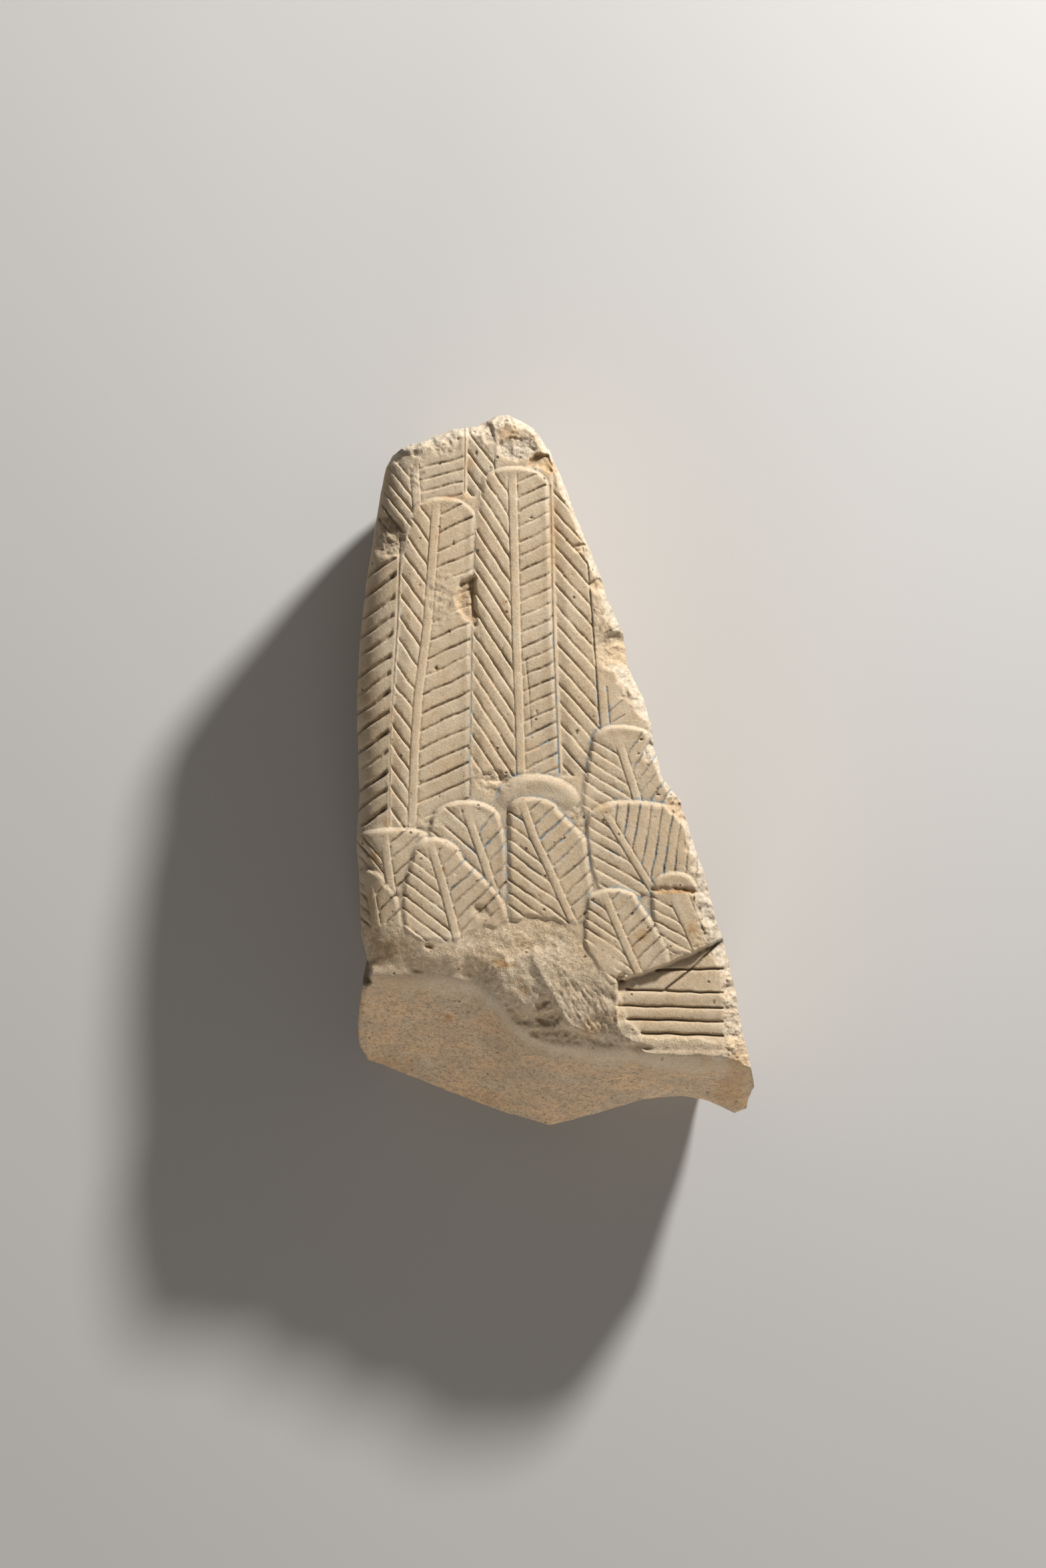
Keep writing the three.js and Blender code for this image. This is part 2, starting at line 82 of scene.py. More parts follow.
# The outline and the carving are drawn in units of the photograph, across to the right and down
PHOTO_WIDTH, PHOTO_HEIGHT = 1568, 2351
DRAWN_LEFT, DRAWN_RIGHT, DRAWN_TOP, DRAWN_BOTTOM = 533, 1132, 621, 1692
UNIT = (HIGH.y - LOW.y) / (DRAWN_BOTTOM - DRAWN_TOP)
MIDDLE_ACROSS = (DRAWN_LEFT + DRAWN_RIGHT) / 2
MIDDLE_DOWN = (DRAWN_TOP + DRAWN_BOTTOM) / 2

# Broken outline, clockwise from the top left corner
OUTLINE = np.array([
    (588, 683), (602, 670), (632, 660), (680, 641), (716, 638), (742, 622), (762, 621), (800, 640),
    (824, 675), (847, 727), (864, 773), (884, 820), (903, 868), (914, 905), (935, 947), (943, 1000),
    (965, 1045), (979, 1090), (982, 1120), (996, 1167), (1022, 1202), (1036, 1250), (1058, 1312),
    (1074, 1375), (1098, 1455), (1113, 1540), (1129, 1610), (1132, 1632), (1120, 1664), (1103, 1672),
    (1060, 1652), (1022, 1646), (965, 1652), (900, 1672), (825, 1692), (745, 1669), (690, 1647),
    (620, 1620), (550, 1592), (536, 1570), (534, 1535), (544, 1462), (549, 1437), (540, 1400),
    (537, 1310), (533, 1262), (538, 1195), (535, 1105), (534, 1040), (539, 955), (549, 868), (561, 792),
    (570, 738), (578, 700)], dtype=float)
TOP_RIGHT, BOTTOM_RIGHT, BOTTOM_LEFT = 8, 28, 38        # corners of the outline, by place in the list
LEFT_CHAIN = np.vstack([OUTLINE[:1], OUTLINE[:BOTTOM_LEFT - 1:-1]])
RIGHT_CHAIN = OUTLINE[TOP_RIGHT:BOTTOM_RIGHT + 1]
TOP_CHAIN = OUTLINE[:TOP_RIGHT + 1]
BOTTOM_CHAIN = OUTLINE[BOTTOM_LEFT:BOTTOM_RIGHT - 1:-1]

# Lines across the fragment: end of the carving, ridge of the rough break, foot of the lower break.
# Ridge and foot also hold a height as a share of the thickness.
CARVING_END = np.array([
    (520, 1385), (565, 1386), (600, 1388), (625, 1405), (650, 1418), (682, 1420), (700, 1398), (745, 1387),
    (792, 1374), (830, 1378), (862, 1395), (886, 1430), (906, 1464), (925, 1487), (938, 1520), (965, 1557),
    (1150, 1560)], dtype=float)
RIDGE = np.array([
    (520, 1467, 0.9), (600, 1471, 0.9), (680, 1480, 0.89), (704, 1482, 0.89), (723, 1491, 0.88),
    (742, 1511, 0.87), (755, 1529, 0.86), (774, 1546, 0.85), (800, 1561, 0.84), (830, 1573, 0.83),
    (886, 1584, 0.84), (952, 1586, 0.87), (980, 1596, 0.88), (1150, 1606, 0.9)])
FOOT = np.array([
    (520, 1598, 0.12), (620, 1632, 0.1), (745, 1682, 0.09), (825, 1704, 0.09), (900, 1686, 0.14),
    (1020, 1658, 0.28), (1120, 1684, 0.36), (1150, 1684, 0.36)])
# Width of the broken rim along the right side: down, width
RIGHT_RIM = np.array([
    (680, 12), (800, 10), (900, 13), (950, 24), (1000, 40), (1045, 32), (1080, 12), (1125, 20), (1155, 8),
    (1200, 14), (1240, 12), (1300, 20), (1340, 28), (1400, 40), (1440, 20), (1500, 26), (1620, 40)],
    dtype=float)
TOP_RIM = 20                    # width of the rim along the top, drawn

# Feathers from back to front. Rows give down, left edge, shaft, right edge. Left and right give a vane's
# barbs: slope, first barb on the shaft, pitch along the shaft, and share of the full depth. Tip is the top
# of a rounded end, and lift how many feather steps it stands up. Lip, run and round are its rim's height
# and width and how softly its edge is rounded. Tuck is how far the left side lies under its neighbour,
# plain the width without barbs at the sides, wide the barbs' width, and fresh how pale the stone is.
FEATHERS = (
    dict(fresh=0.45, rows=((655, 588, 619, 697), (720, 577, 622, 695), (800, 562, 628, 690)),
         left=(1.25, 718, 26, 1.2), right=(0.27, 703, 18, 1.0)),
    dict(fresh=0.5, rows=((640, 700, 748, 748), (745, 698, 748, 748)), left=(1.3, 700, 30, 1.3), tuck=0.3),
    dict(rows=((835, 520, 521, 600), (1000, 515, 516, 591), (1240, 515, 516, 584)),
         right=(0.7, 884, 28.5, 2.4), plain=6, wide=2.0),
    dict(rows=((705, 827, 872, 880), (860, 830, 889, 935), (960, 833, 897, 950), (1085, 838, 906, 948),
               (1165, 842, 912, 918)), left=(1.12, 786, 31, 0.9), tuck=0.3),
    dict(tip=(662, 744), lift=0.6,
         rows=((778, 614, 652, 714), (850, 601, 647, 710), (940, 597, 640, 706), (1040, 589, 627, 705),
               (1110, 585, 622, 704), (1245, 583, 617, 703)),
         left=(1.35, 783, 31, 1.1), right=(0.46, 773, 27, 1.2), tuck=0.5),
    dict(tip=(768, 698), lift=0.8,
         rows=((728, 721, 768, 823), (800, 712, 770, 825), (960, 708, 774, 829), (1060, 706, 778, 834),
               (1165, 704, 781, 838)),
         left=(1.52, 738, 33.5, 1.0), right=(0.47, 724, 22.5, 1.15), tuck=0.45),
    dict(tip=(925, 1086), lift=1.0,
         rows=((1112, 886, 927, 985), (1145, 880, 938, 1010), (1182, 874, 950, 1045),
               (1225, 872, 962, 1060)),
         left=(0.62, 1133, 22, 0.6), right=(1.4, 1132, 20, 0.95)),
    dict(tip=(795, 1159), lift=1.25, lip=0.4, run=20, round=7, fresh=0.25,
         rows=((1200, 745, 790, 870), (1214, 744, 796, 862))),
    dict(tip=(700, 1199), lift=1.1, lip=0.25, run=9, round=4.5,
         rows=((1232, 645, 704, 752), (1262, 638, 715, 759), (1290, 632, 725, 760), (1350, 625, 744, 760)),
         left=(0.83, 1240, 38, 0.7), right=(1.05, 1248, 22, 1.1)),
    dict(tip=(600, 1240), lift=1.3, lip=0.25, run=9, round=6,
         rows=((1255, 530, 576, 645), (1285, 530, 579, 640), (1345, 530, 588, 618)),
         left=(1.2, 1288, 22, 1.2), right=(0.9, 1267, 22, 1.0)),
    dict(tip=(935, 1199), lift=1.2, round=4.5,
         rows=((1235, 877, 917, 1042), (1266, 878, 936, 1056), (1302, 885, 958, 1070),
               (1345, 900, 985, 1080)),
         left=(0.56, 1238, 29, 0.65), right=(6.0, 1232, 21.6, 0.55), plain=6),
    dict(tip=(790, 1194), lift=1.2, round=4.5,
         rows=((1215, 760, 786, 838), (1255, 760, 800, 880), (1298, 760, 821, 884), (1340, 760, 839, 891),
               (1385, 762, 860, 893)),
         left=(0.72, 1233, 30, 0.75), right=(0.92, 1218, 20.5, 1.15)),
    dict(tip=(645, 1254), lift=2.0, lip=0.45, run=9, round=7,
         rows=((1285, 617, 651, 693), (1320, 606, 662, 730), (1350, 601, 670, 756), (1412, 606, 686, 772)),
         left=(0.76, 1292, 26, 0.75), right=(1.0, 1278, 20, 1.15)),
    dict(tip=(550, 1303), lift=1.2, lip=0.3, run=8, round=5,
         rows=((1322, 530, 551, 577), (1345, 530, 557, 597), (1400, 530, 566, 606)),
         left=(0.8, 1330, 20, 1.4), right=(1.0, 1342, 25, 0.9)),
    dict(tip=(1012, 1306), lift=1.1,
         rows=((1330, 977, 1005, 1045), (1358, 975, 1014, 1075), (1390, 980, 1030, 1085),
               (1432, 990, 1048, 1090)), left=(0.52, 1362, 22, 0.65)),
    dict(tip=(918, 1331), lift=1.2,
         rows=((1350, 880, 909, 957), (1378, 876, 921, 977), (1422, 874, 940, 1002), (1480, 872, 966, 1012)),
         left=(0.68, 1366, 22, 0.65), right=(0.95, 1350, 18, 1.15)),
)
SHAFT_HALF = 7                  # half the plain strip between a feather's two shaft lines, drawn
TIP_RIM = 10                    # plain rim inside a feather's tip, drawn

# Lines between feathers that lie side by side, and a second shaft at the far right
EDGE_LINES = (
    ((697, 640), (696, 738)),
    ((600, 800), (595, 940), (585, 1100), (583, 1236)),
    ((712, 796), (707, 960), (704, 1192)),
    ((825, 728), (829, 960), (838, 1160)),
    ((882, 860), (890, 960), (898, 1085)),
    ((909, 1030), (914, 1085)),
)
# Single cuts: barbs of the feather at the far right, a guide line, a crack and a notch
CUTS = (
    ((912, 1068), (932, 1050)), ((918, 1083), (936, 1072)), ((905, 950), (932, 938)),
    ((788, 990), (793, 1035), (797, 1105)),
    ((877, 1472), (888, 1480), (900, 1477), (925, 1475)),
    ((1057, 1552), (1060, 1565)),
    ((1032, 1340), (1050, 1385), (1062, 1412)),
)

# Banded edge: its border against the feathers, its straight lines, and the curved line above them
BAND_BORDER = np.array([(925, 1472), (980, 1454), (1030, 1433), (1088, 1407), (1150, 1385)], dtype=float)
BAND_END = 1083                 # the lines stop here, and the rough broken strip starts
BAND_LINES = (
    ((985, 1455), (BAND_END, 1453)),
    ((940, 1484), (BAND_END, 1489)),
    ((924, 1508), (BAND_END, 1512)),
    ((940, 1528), (BAND_END, 1532)),
    ((962, 1549), (BAND_END, 1553)),
    ((1076, 1412), (1062, 1429), (1043, 1448), (1028, 1460), (1010, 1474), (998, 1484)),
)

# Chips and hollows: outline, depth at the top and at the bottom, how soft the edge is, drawn, and how
# fresh or brown the floor is, and how dark it is with dirt and painted shade
HOLLOWS = (
    dict(points=((710, 865), (697, 868), (689, 877), (684, 894), (688, 914),
                 (697, 927), (715, 939), (712, 905)),
         depth=(1.7, 0.4), brown=0.8, soft=1.8),
    dict(points=((900, 962), (912, 954), (930, 950), (950, 962), (956, 985),
                 (938, 996), (915, 1000), (898, 990)),
         depth=(1.7, 0.5), brown=0.3, soft=5),
    dict(points=((884, 874), (896, 868), (904, 874), (908, 884), (896, 888), (886, 884)),
         depth=(1.2, 0.5), brown=0.5),
    dict(points=((560, 790), (568, 775), (585, 772), (602, 790), (606, 812),
                 (600, 832), (575, 835), (556, 822)),
         depth=(1.3, 0.5), brown=0.5, fresh=0.4, soft=3),
    dict(points=((796, 688), (806, 680), (822, 682), (829, 700), (826, 708), (806, 699), (790, 700)),
         depth=(1.6, 0.7), brown=1.0),
    dict(points=((746, 664), (765, 655), (800, 658), (806, 674), (790, 688), (762, 690), (748, 680)),
         depth=(0.4, 0.2), brown=0.1, fresh=0.9),
    dict(points=((722, 625), (738, 640), (742, 662), (730, 665), (718, 640)),
         depth=(1.0, 0.3), fresh=0.8),
    dict(points=((706, 1358), (722, 1360), (738, 1372), (732, 1378), (714, 1374)),
         depth=(0.8, 0.15), dirt_and_shade=0.1, soft=3),
    dict(points=((1000, 1200), (1010, 1192), (1024, 1210), (1030, 1236), (1014, 1226), (1002, 1214)),
         depth=(0.7, 1.2), brown=0.6),
    dict(points=((858, 820), (870, 814), (880, 818), (876, 828), (862, 828)),
         depth=(0.8, 0.4), fresh=0.2),
    dict(points=((966, 1120), (974, 1114), (982, 1122), (981, 1138), (973, 1142), (965, 1134)),
         depth=(0.6, 0.3), fresh=1.0),
    dict(points=((924, 1466), (929, 1461), (936, 1463), (935, 1471), (927, 1473)),
         depth=(1.4, 1.2), brown=1.0),
    dict(points=((975, 1334), (990, 1337), (1010, 1334), (1030, 1337), (1047, 1342),
                 (1040, 1332), (1012, 1328), (985, 1328)),
         depth=(0.1, 0.9), brown=0.9),
    dict(points=((802, 1526), (812, 1520), (839, 1514), (842, 1526), (830, 1540), (812, 1536)),
         depth=(0.9, 0.4), dirt_and_shade=0.3, soft=2),
    dict(points=((799, 1506), (808, 1499), (824, 1500), (820, 1507), (806, 1514)),
         depth=(0.6, 0.3), dirt_and_shade=0.2, soft=2),
    dict(points=((762, 1509), (770, 1513), (780, 1526), (802, 1531),
                 (794, 1537), (776, 1536), (766, 1522)),
         depth=(0.4, 0.2), dirt_and_shade=0.2, soft=2),
    dict(points=((793, 1548), (800, 1543), (810, 1546), (806, 1554), (794, 1556)),
         depth=(0.9, 0.4), brown=0.9),
    dict(points=((796, 1550), (815, 1544), (850, 1543), (876, 1550),
                 (872, 1562), (850, 1568), (815, 1564)),
         depth=(0.45, 0.2), dirt_and_shade=0.25, soft=3),
    dict(points=((939, 1568), (960, 1566), (980, 1573), (972, 1580), (950, 1579)),
         depth=(0.6, 0.3), dirt_and_shade=0.4, soft=3),
    dict(points=((543, 1438), (551, 1438), (554, 1446), (555, 1474), (548, 1476), (536, 1476)),
         depth=(3.6, 3.6), dirt_and_shade=1.0),
    dict(points=((616, 1455), (624, 1452), (639, 1455), (630, 1459)),
         depth=(0.3, 0.2), brown=0.8, soft=2),
    dict(points=((636, 1417), (647, 1417), (648, 1422), (638, 1423)), depth=(0.4, 0.3), brown=1.0),
    dict(points=((718, 1158), (745, 1153), (760, 1163), (752, 1176), (724, 1170)),
         depth=(0.3, 0.5), fresh=0.2),
)

# Zones of pitted or crumbled stone: middle, half sizes, height of the lumps
ROUGH_ZONES = (
    ((626, 712), (13, 40), 0.14), ((668, 668), (22, 18), 0.2), ((664, 896), (32, 46), 0.12),
    ((580, 806), (26, 34), 0.2), ((775, 655), (52, 38), 0.16), ((905, 930), (26, 80), 0.14),
    ((800, 1160), (60, 8), 0.08), ((740, 1175), (34, 16), 0.18), ((864, 1222), (20, 24), 0.14),
    ((1060, 1380), (24, 60), 0.18), ((640, 1238), (40, 8), 0.1), ((640, 662), (60, 20), 0.12),
)

# Places where the carving is worn soft: middle, half sizes, share of the depth that is gone
WORN = (
    ((664, 896), (30, 46), 0.9),
    ((628, 715), (16, 34), 0.5),
    ((655, 668), (40, 22), 0.9),
    ((1052, 1370), (26, 50), 0.9),
    ((640, 1235), (36, 14), 0.8),
    ((740, 1180), (32, 22), 0.5),
    ((930, 1080), (40, 16), 0.5),
    ((905, 1435), (30, 30), 0.9),
    ((575, 1300), (18, 40), 0.2),
    ((915, 930), (24, 90), 1.0),
)

# Lower break. Its slanting crest from its top down: across, down, height. Its loss of height from the
# carving to the ridge: across, and power of the curve. And the upper end of the bulge at its middle.
CREST = np.array([
    (797, 1405, 0.0), (803, 1436, 0.5), (811, 1460, 0.8), (822, 1482, 1.1), (834, 1501, 1.5),
    (841, 1520, 1.7), (849, 1535, 1.6), (877, 1548, 1.3), (901, 1556, 0.6), (930, 1566, 0.0)])
CREST_LEFT, CREST_RIGHT = 9, 30     # how far it falls off on both sides, drawn
LIP_HEIGHT = 0.55               # the rounded ridge stands this far above the stone behind it
LOSS_POWER = ((520, 1.5), (680, 1.7), (730, 2.6), (840, 3.0), (900, 2.6), (1150, 2.2))
BULGE_LINE = np.array([(700, 1470), (723, 1458), (745, 1445), (781, 1432), (800, 1424)], dtype=float)
BULGE_HEIGHT = 0.45
BULGE_STARTS, BULGE_ENDS, BULGE_FADES = (712, 735), (800, 830), (1500, 1535)    # across, across, down
LIP_FADES = (900, 980)          # across
CRUMBLED_FROM, CALMER_FROM = (660, 730), (950, 1000)    # across
CALM_PLACE = (880, 1432), (40, 44)      # middle and half sizes
BROWN_PLACE = (583, 1425), (34, 26)
SPLITS_START, SPLITS_END, SPLITS_TOP = (806, 836), (935, 960), (1440, 1480)     # across, across, down
SPLIT_DEPTH = 0.11

# Small round pores all over the front
PORES = 420
PORE_SEED = 7

# Traces of light blue colour in the grooves: middle, half sizes, strength
BLUE_TRACES = (
    ((710, 1080), (14, 110), 0.45),
    ((740, 1150), (50, 60), 0.7),
    ((830, 1050), (18, 130), 0.4),
    ((820, 1140), (40, 40), 0.7),
    ((904, 1056), (20, 44), 1.1),
    ((872, 1120), (34, 40), 0.6),
    ((722, 1262), (34, 62), 0.9),
    ((820, 1255), (68, 66), 0.8),
    ((757, 1290), (12, 60), 0.9),
    ((955, 1165), (60, 60), 0.9),
    ((945, 1280), (80, 66), 1.1),
    ((940, 1345), (70, 30), 1.1),
    ((690, 1300), (60, 46), 0.5),
    ((812, 700), (24, 12), 0.5),
)

# Rust and ochre spots: middle, half sizes, strength
RUST_SPOTS = (
    ((750, 1445), (9, 8), 0.9), ((762, 1447), (12, 4), 0.7), ((673, 1526), (7, 5), 0.9),
    ((963, 1402), (13, 10), 0.8), ((955, 1418), (10, 6), 0.5), ((1038, 1392), (9, 12), 0.6),
    ((1010, 1337), (34, 3), 1.0), ((885, 1540), (22, 16), 0.5), ((785, 1484), (10, 7), 0.5),
    ((776, 1471), (6, 5), 0.6), ((562, 1285), (8, 9), 0.7), ((552, 1352), (5, 10), 0.6),
    ((664, 1304), (4, 4), 0.9), ((593, 748), (3, 3), 1.0), ((654, 803), (3, 3), 1.0),
    ((597, 888), (3, 3), 1.0), ((612, 923), (3, 3), 1.0), ((756, 903), (3, 3), 1.0),
    ((762, 652), (16, 12), 0.5), ((705, 695), (6, 10), 0.6), ((580, 715), (10, 40), 0.35),
    ((720, 790), (5, 60), 0.2), ((830, 800), (7, 70), 0.4), ((1100, 1635), (24, 36), 0.5),
    ((580, 1232), (8, 8), 0.7), ((560, 1600), (60, 16), 0.4), ((700, 1655), (80, 14), 0.4),
    ((782, 1199), (3, 3), 0.9), ((905, 1212), (12, 8), 0.5), ((590, 1470), (60, 8), 0.25),
    ((820, 700), (12, 12), 0.7), ((680, 745), (24, 5), 0.5), ((545, 930), (14, 150), 0.3),
    ((1104, 1600), (16, 20), 0.5), ((1060, 1596), (14, 8), 0.4), ((590, 1130), (6, 90), 0.25),
)

# What the stone's colour depends on: fresh breaks and painted highlights, the smooth rear plane, blue colour,
# dirt and painted shade in grooves and hollows, rust stains and rough places. The sides and the back have
# one value each, but aren't fresh at the left.
MASKS = ("fresh", "rear", "blue", "dirt_and_shade", "stain", "rough")
GROOVE_MASKS = ("dirt_and_shade", "blue")
SIDE_MASKS = {"fresh": 0.25, "rear": 0.75, "blue": 0.0, "dirt_and_shade": 0.12, "stain": 0.1, "rough": 0.8}

# The sides are drawn in towards this line at the back
SPINE = np.array(((712.0, 760.0), (830.0, 1500.0)))
# The front's broken edges are worn back towards this place, each by up to this much, drawn
BREAK_MIDDLE = np.array((830.0, 1160.0))
TOP_WEAR, BOTTOM_WEAR, LEFT_WEAR, RIGHT_WEAR = 3.0, 2.0, 1.6, 4.0

# Colours of the stone
CREAM = (0.62, 0.505, 0.36, 1)
PALE_CREAM = (0.68, 0.58, 0.445, 1)
HONEY = (0.54, 0.39, 0.235, 1)
FRESH_WHITE = (0.62, 0.565, 0.48, 1)
TAN = (0.76, 0.55, 0.35, 1)
DARK_TAN = (0.38, 0.29, 0.205, 1)
GREY_TAN = (0.56, 0.445, 0.33, 1)
GREY_SPECK = (0.17, 0.155, 0.14, 1)
# Dark brown for dirt and for painted shade in grooves, hollows, pits and along steps
DIRT_AND_SHADE_BROWN = (0.085, 0.065, 0.045, 1)
WHITE_DUST = (0.74, 0.73, 0.70, 1)
RUST = (0.40, 0.15, 0.035, 1)
OCHRE = (0.55, 0.36, 0.13, 1)
BLUE = (0.19, 0.35, 0.49, 1)
PORE_BROWN = (0.07, 0.042, 0.022, 1)

# Noises of the stone's colour and finest relief: scale, detail and roughness
BROAD, MEDIUM, CRUMBS = (70, 3, 0.6), (420, 4, 0.6), (1300, 3, 0.7)
FINE, PAINT_GRAINS, GRAINS = (3000, 3, 0.7), (3200, 3, 0.7), (6500, 2, 0.6)
REAR_LIGHT, REAR_PATCHES = (95, 8, 0.75), (140, 8, 0.7)
REAR_STREAKS, REAR_SPECKS = (950, 8, 0.8), (1900, 3, 0.7)
STREAK_TURN, STREAK_STRETCH = -20, (1, 1.5, 0.6)        # degrees, and how the streaks are drawn out
PORE_CELLS = 620.0              # one cell in eight or so holds a tiny pore
STONE_ROUGHNESS, STONE_SHINE = 0.88, 0.25
RELIEF_STRENGTH, RELIEF_HEIGHT = 0.8, 0.00018           # finest relief, its height in metres

# The camera looks straight down. The photograph's long side spans this sensor.
LENS, SENSOR = 600.0, 36.0
# Soft lamps: turn about the vertical and tilt above level in degrees, distance and size in metres,
# power in watts, colour
LAMPS = {
    "key": (57, 31, 0.7, 0.08, 7.1, (1, 0.94, 0.86)),
    "fill": (268, 13, 0.9, 0.3, 2.7, (1, 0.9, 0.79)),
}
ROOM_COLOUR = (1.0, 0.9, 0.79, 1)
ROOM_STRENGTH = 0.13
FLOOR_SIZE = 3.0
FLOOR_COLOUR = (0.58, 0.60, 0.63, 1)
FLOOR_ROUGHNESS = 0.9

# Layout of the material's nodes
NODE_ROWS, NODE_PITCH = 8, 320

# Detail of the meshes
FRONT_ACROSS = 470        # points of the front mesh
FRONT_DOWN = 1050
WALL_RINGS = 26
WALL_SKIP = 4                   # the sides have one point for this many points of the front's border
SIDE_BLUR = 12  # the sides lose the outline's small corners over this many of those points
BACK_SPACING = 1.3
MOST_TRIANGLES = 197000


def lattice(a, d, cell, seed):
    """Smooth noise from -1 to 1 over a plane, whose bumps are about one cell wide."""
    size = 256
    way = np.random.default_rng(seed).uniform(0, 2 * math.pi, (size, size))
    slope_u, slope_v = 1.6 * np.cos(way), 1.6 * np.sin(way)
    turn = 1.3 * seed
    u = (a * math.cos(turn) + d * math.sin(turn)) / cell
    v = (d * math.cos(turn) - a * math.sin(turn)) / cell
    left, top = np.floor(u).astype(int), np.floor(v).astype(int)
    fu, fv = u - left, v - top
    total = 0
    for step_u, step_v in ((0, 0), (1, 0), (0, 1), (1, 1)):
        corner = (top + step_v) % size, (left + step_u) % size
        value = slope_u[corner] * (fu - step_u) + slope_v[corner] * (fv - step_v)
        share_u, share_v = 1 - np.abs(fu - step_u), 1 - np.abs(fv - step_v)
        total = total + value * share_u ** 2 * (3 - 2 * share_u) * share_v ** 2 * (3 - 2 * share_v)
    return total


def layers(a, d, cell, count, seed, fade=0.5):
    """Several sizes of noise on top of each other, each half the size of the one before."""
    total = 0
    for i in range(count):
        total = total + lattice(a, d, cell / 2 ** i, seed + i) * fade ** i
    return total


def solid_noise(points, cell, seed):
    """Smooth noise from -1 to 1 in space, for the sides and the back."""
    size = 32
    table = np.random.default_rng(seed).uniform(-1, 1, (size, size, size))
    scaled = points / cell
    base = np.floor(scaled).astype(int)
    share = scaled - base
    share = share * share * (3 - 2 * share)
    total = np.zeros(len(points))
    for corner in np.ndindex(2, 2, 2):
        weight = np.prod(np.where(np.array(corner) == 1, share, 1 - share), axis=1)
        place = (base + corner) % size
        total += weight * table[place[:, 0], place[:, 1], place[:, 2]]
    return total


def soften(sheet, radius):
    """Blurs a sheet with a bell curve of that radius, in drawn units."""
    reach = int(math.ceil(radius * 2.5))
    taps = np.exp(-0.5 * (np.arange(-reach, reach + 1) / radius) ** 2)
    taps /= taps.sum()
    padded = np.pad(sheet, reach, mode="edge")
    rows = sum(tap * padded[i:i + sheet.shape[0]] for i, tap in enumerate(taps))
    return sum(tap * rows[:, i:i + sheet.shape[1]] for i, tap in enumerate(taps))


def ramp(value, low, high):
    """0 below low, 1 above high, and smooth between them."""
    share = np.clip((value - low) / (high - low), 0, 1)
    return share * share * (3 - 2 * share)


def far_from(a, d, middle, half_sizes):
    """Distance from a place, which is 1 on the edge of an oval with those half sizes."""
    return np.hypot((a - middle[0]) / half_sizes[0], (d - middle[1]) / half_sizes[1])


def chain_at(chain, key, key_column, value_column):
    """Value of a chain of points at a key, such as its across at a down."""
    order = np.argsort(chain[:, key_column])
    return np.interp(key, chain[order, key_column], chain[order, value_column])


class Sheet:
    """The front of the stone seen from the camera: its height and its masks, one value per drawn unit."""

    PAD = 12

    def __init__(self):
        self.across0 = DRAWN_LEFT - self.PAD
        self.down0 = DRAWN_TOP - self.PAD
        across = np.arange(self.across0, DRAWN_RIGHT + self.PAD, dtype=float)
        down = np.arange(self.down0, DRAWN_BOTTOM + self.PAD + 20, dtype=float)
        self.across, self.down = np.meshgrid(across, down)
        self.rows = down
        self.height = np.zeros_like(self.across)
        self.masks = {name: np.zeros_like(self.across) for name in MASKS}
        self.wear = self.make_wear()

    def make_wear(self):
        """How deep the grooves still are: worn soft in places, and uneven everywhere."""
        uneven = 0.95 + 0.35 * layers(self.across, self.down, 46, 3, 11)
        for middle, half_sizes, amount in WORN:
            far = far_from(self.across, self.down, middle, half_sizes)
            uneven *= 1 - amount * (1 - ramp(far, 0.5, 1.2))
        return np.clip(uneven, 0.05, 1.4)

    def window(self, points, margin):
        """Slices of the sheet around some drawn points."""
        points = np.asarray(points, dtype=float)
        a0, d0 = np.floor(points.min(axis=0) - margin).astype(int)
        a1, d1 = np.ceil(points.max(axis=0) + margin).astype(int)
        rows = slice(max(d0 - self.down0, 0), max(d1 - self.down0, 0))
        columns = slice(max(a0 - self.across0, 0), max(a1 - self.across0, 0))
        return rows, columns

    def part(self, points, margin):
        """Slices of the sheet around some drawn points, and the across and down of its places there."""
        window = self.window(points, margin)
        return window, self.across[window], self.down[window]

    def part_around(self, middle, half_sizes, margin):
        """The same for the part around an oval."""
        middle, half_sizes = np.array(middle), np.array(half_sizes)
        return self.part([middle - half_sizes, middle + half_sizes], margin)

    def raise_mask(self, name, window, values):
        """Keeps the greater of a mask and new values in a part of the sheet."""
        self.masks[name][window] = np.maximum(self.masks[name][window], values)

    def sample(self, sheet, across, down):
        """Values of a sheet at any drawn places, worked out between its own."""
        u = np.clip(across - self.across0, 0, sheet.shape[1] - 1.001)
        v = np.clip(down - self.down0, 0, sheet.shape[0] - 1.001)
        left, top = u.astype(int), v.astype(int)
        fu, fv = u - left, v - top
        upper = sheet[top, left] * (1 - fu) + sheet[top, left + 1] * fu
        lower = sheet[top + 1, left] * (1 - fu) + sheet[top + 1, left + 1] * fu
        return upper * (1 - fv) + lower * fv


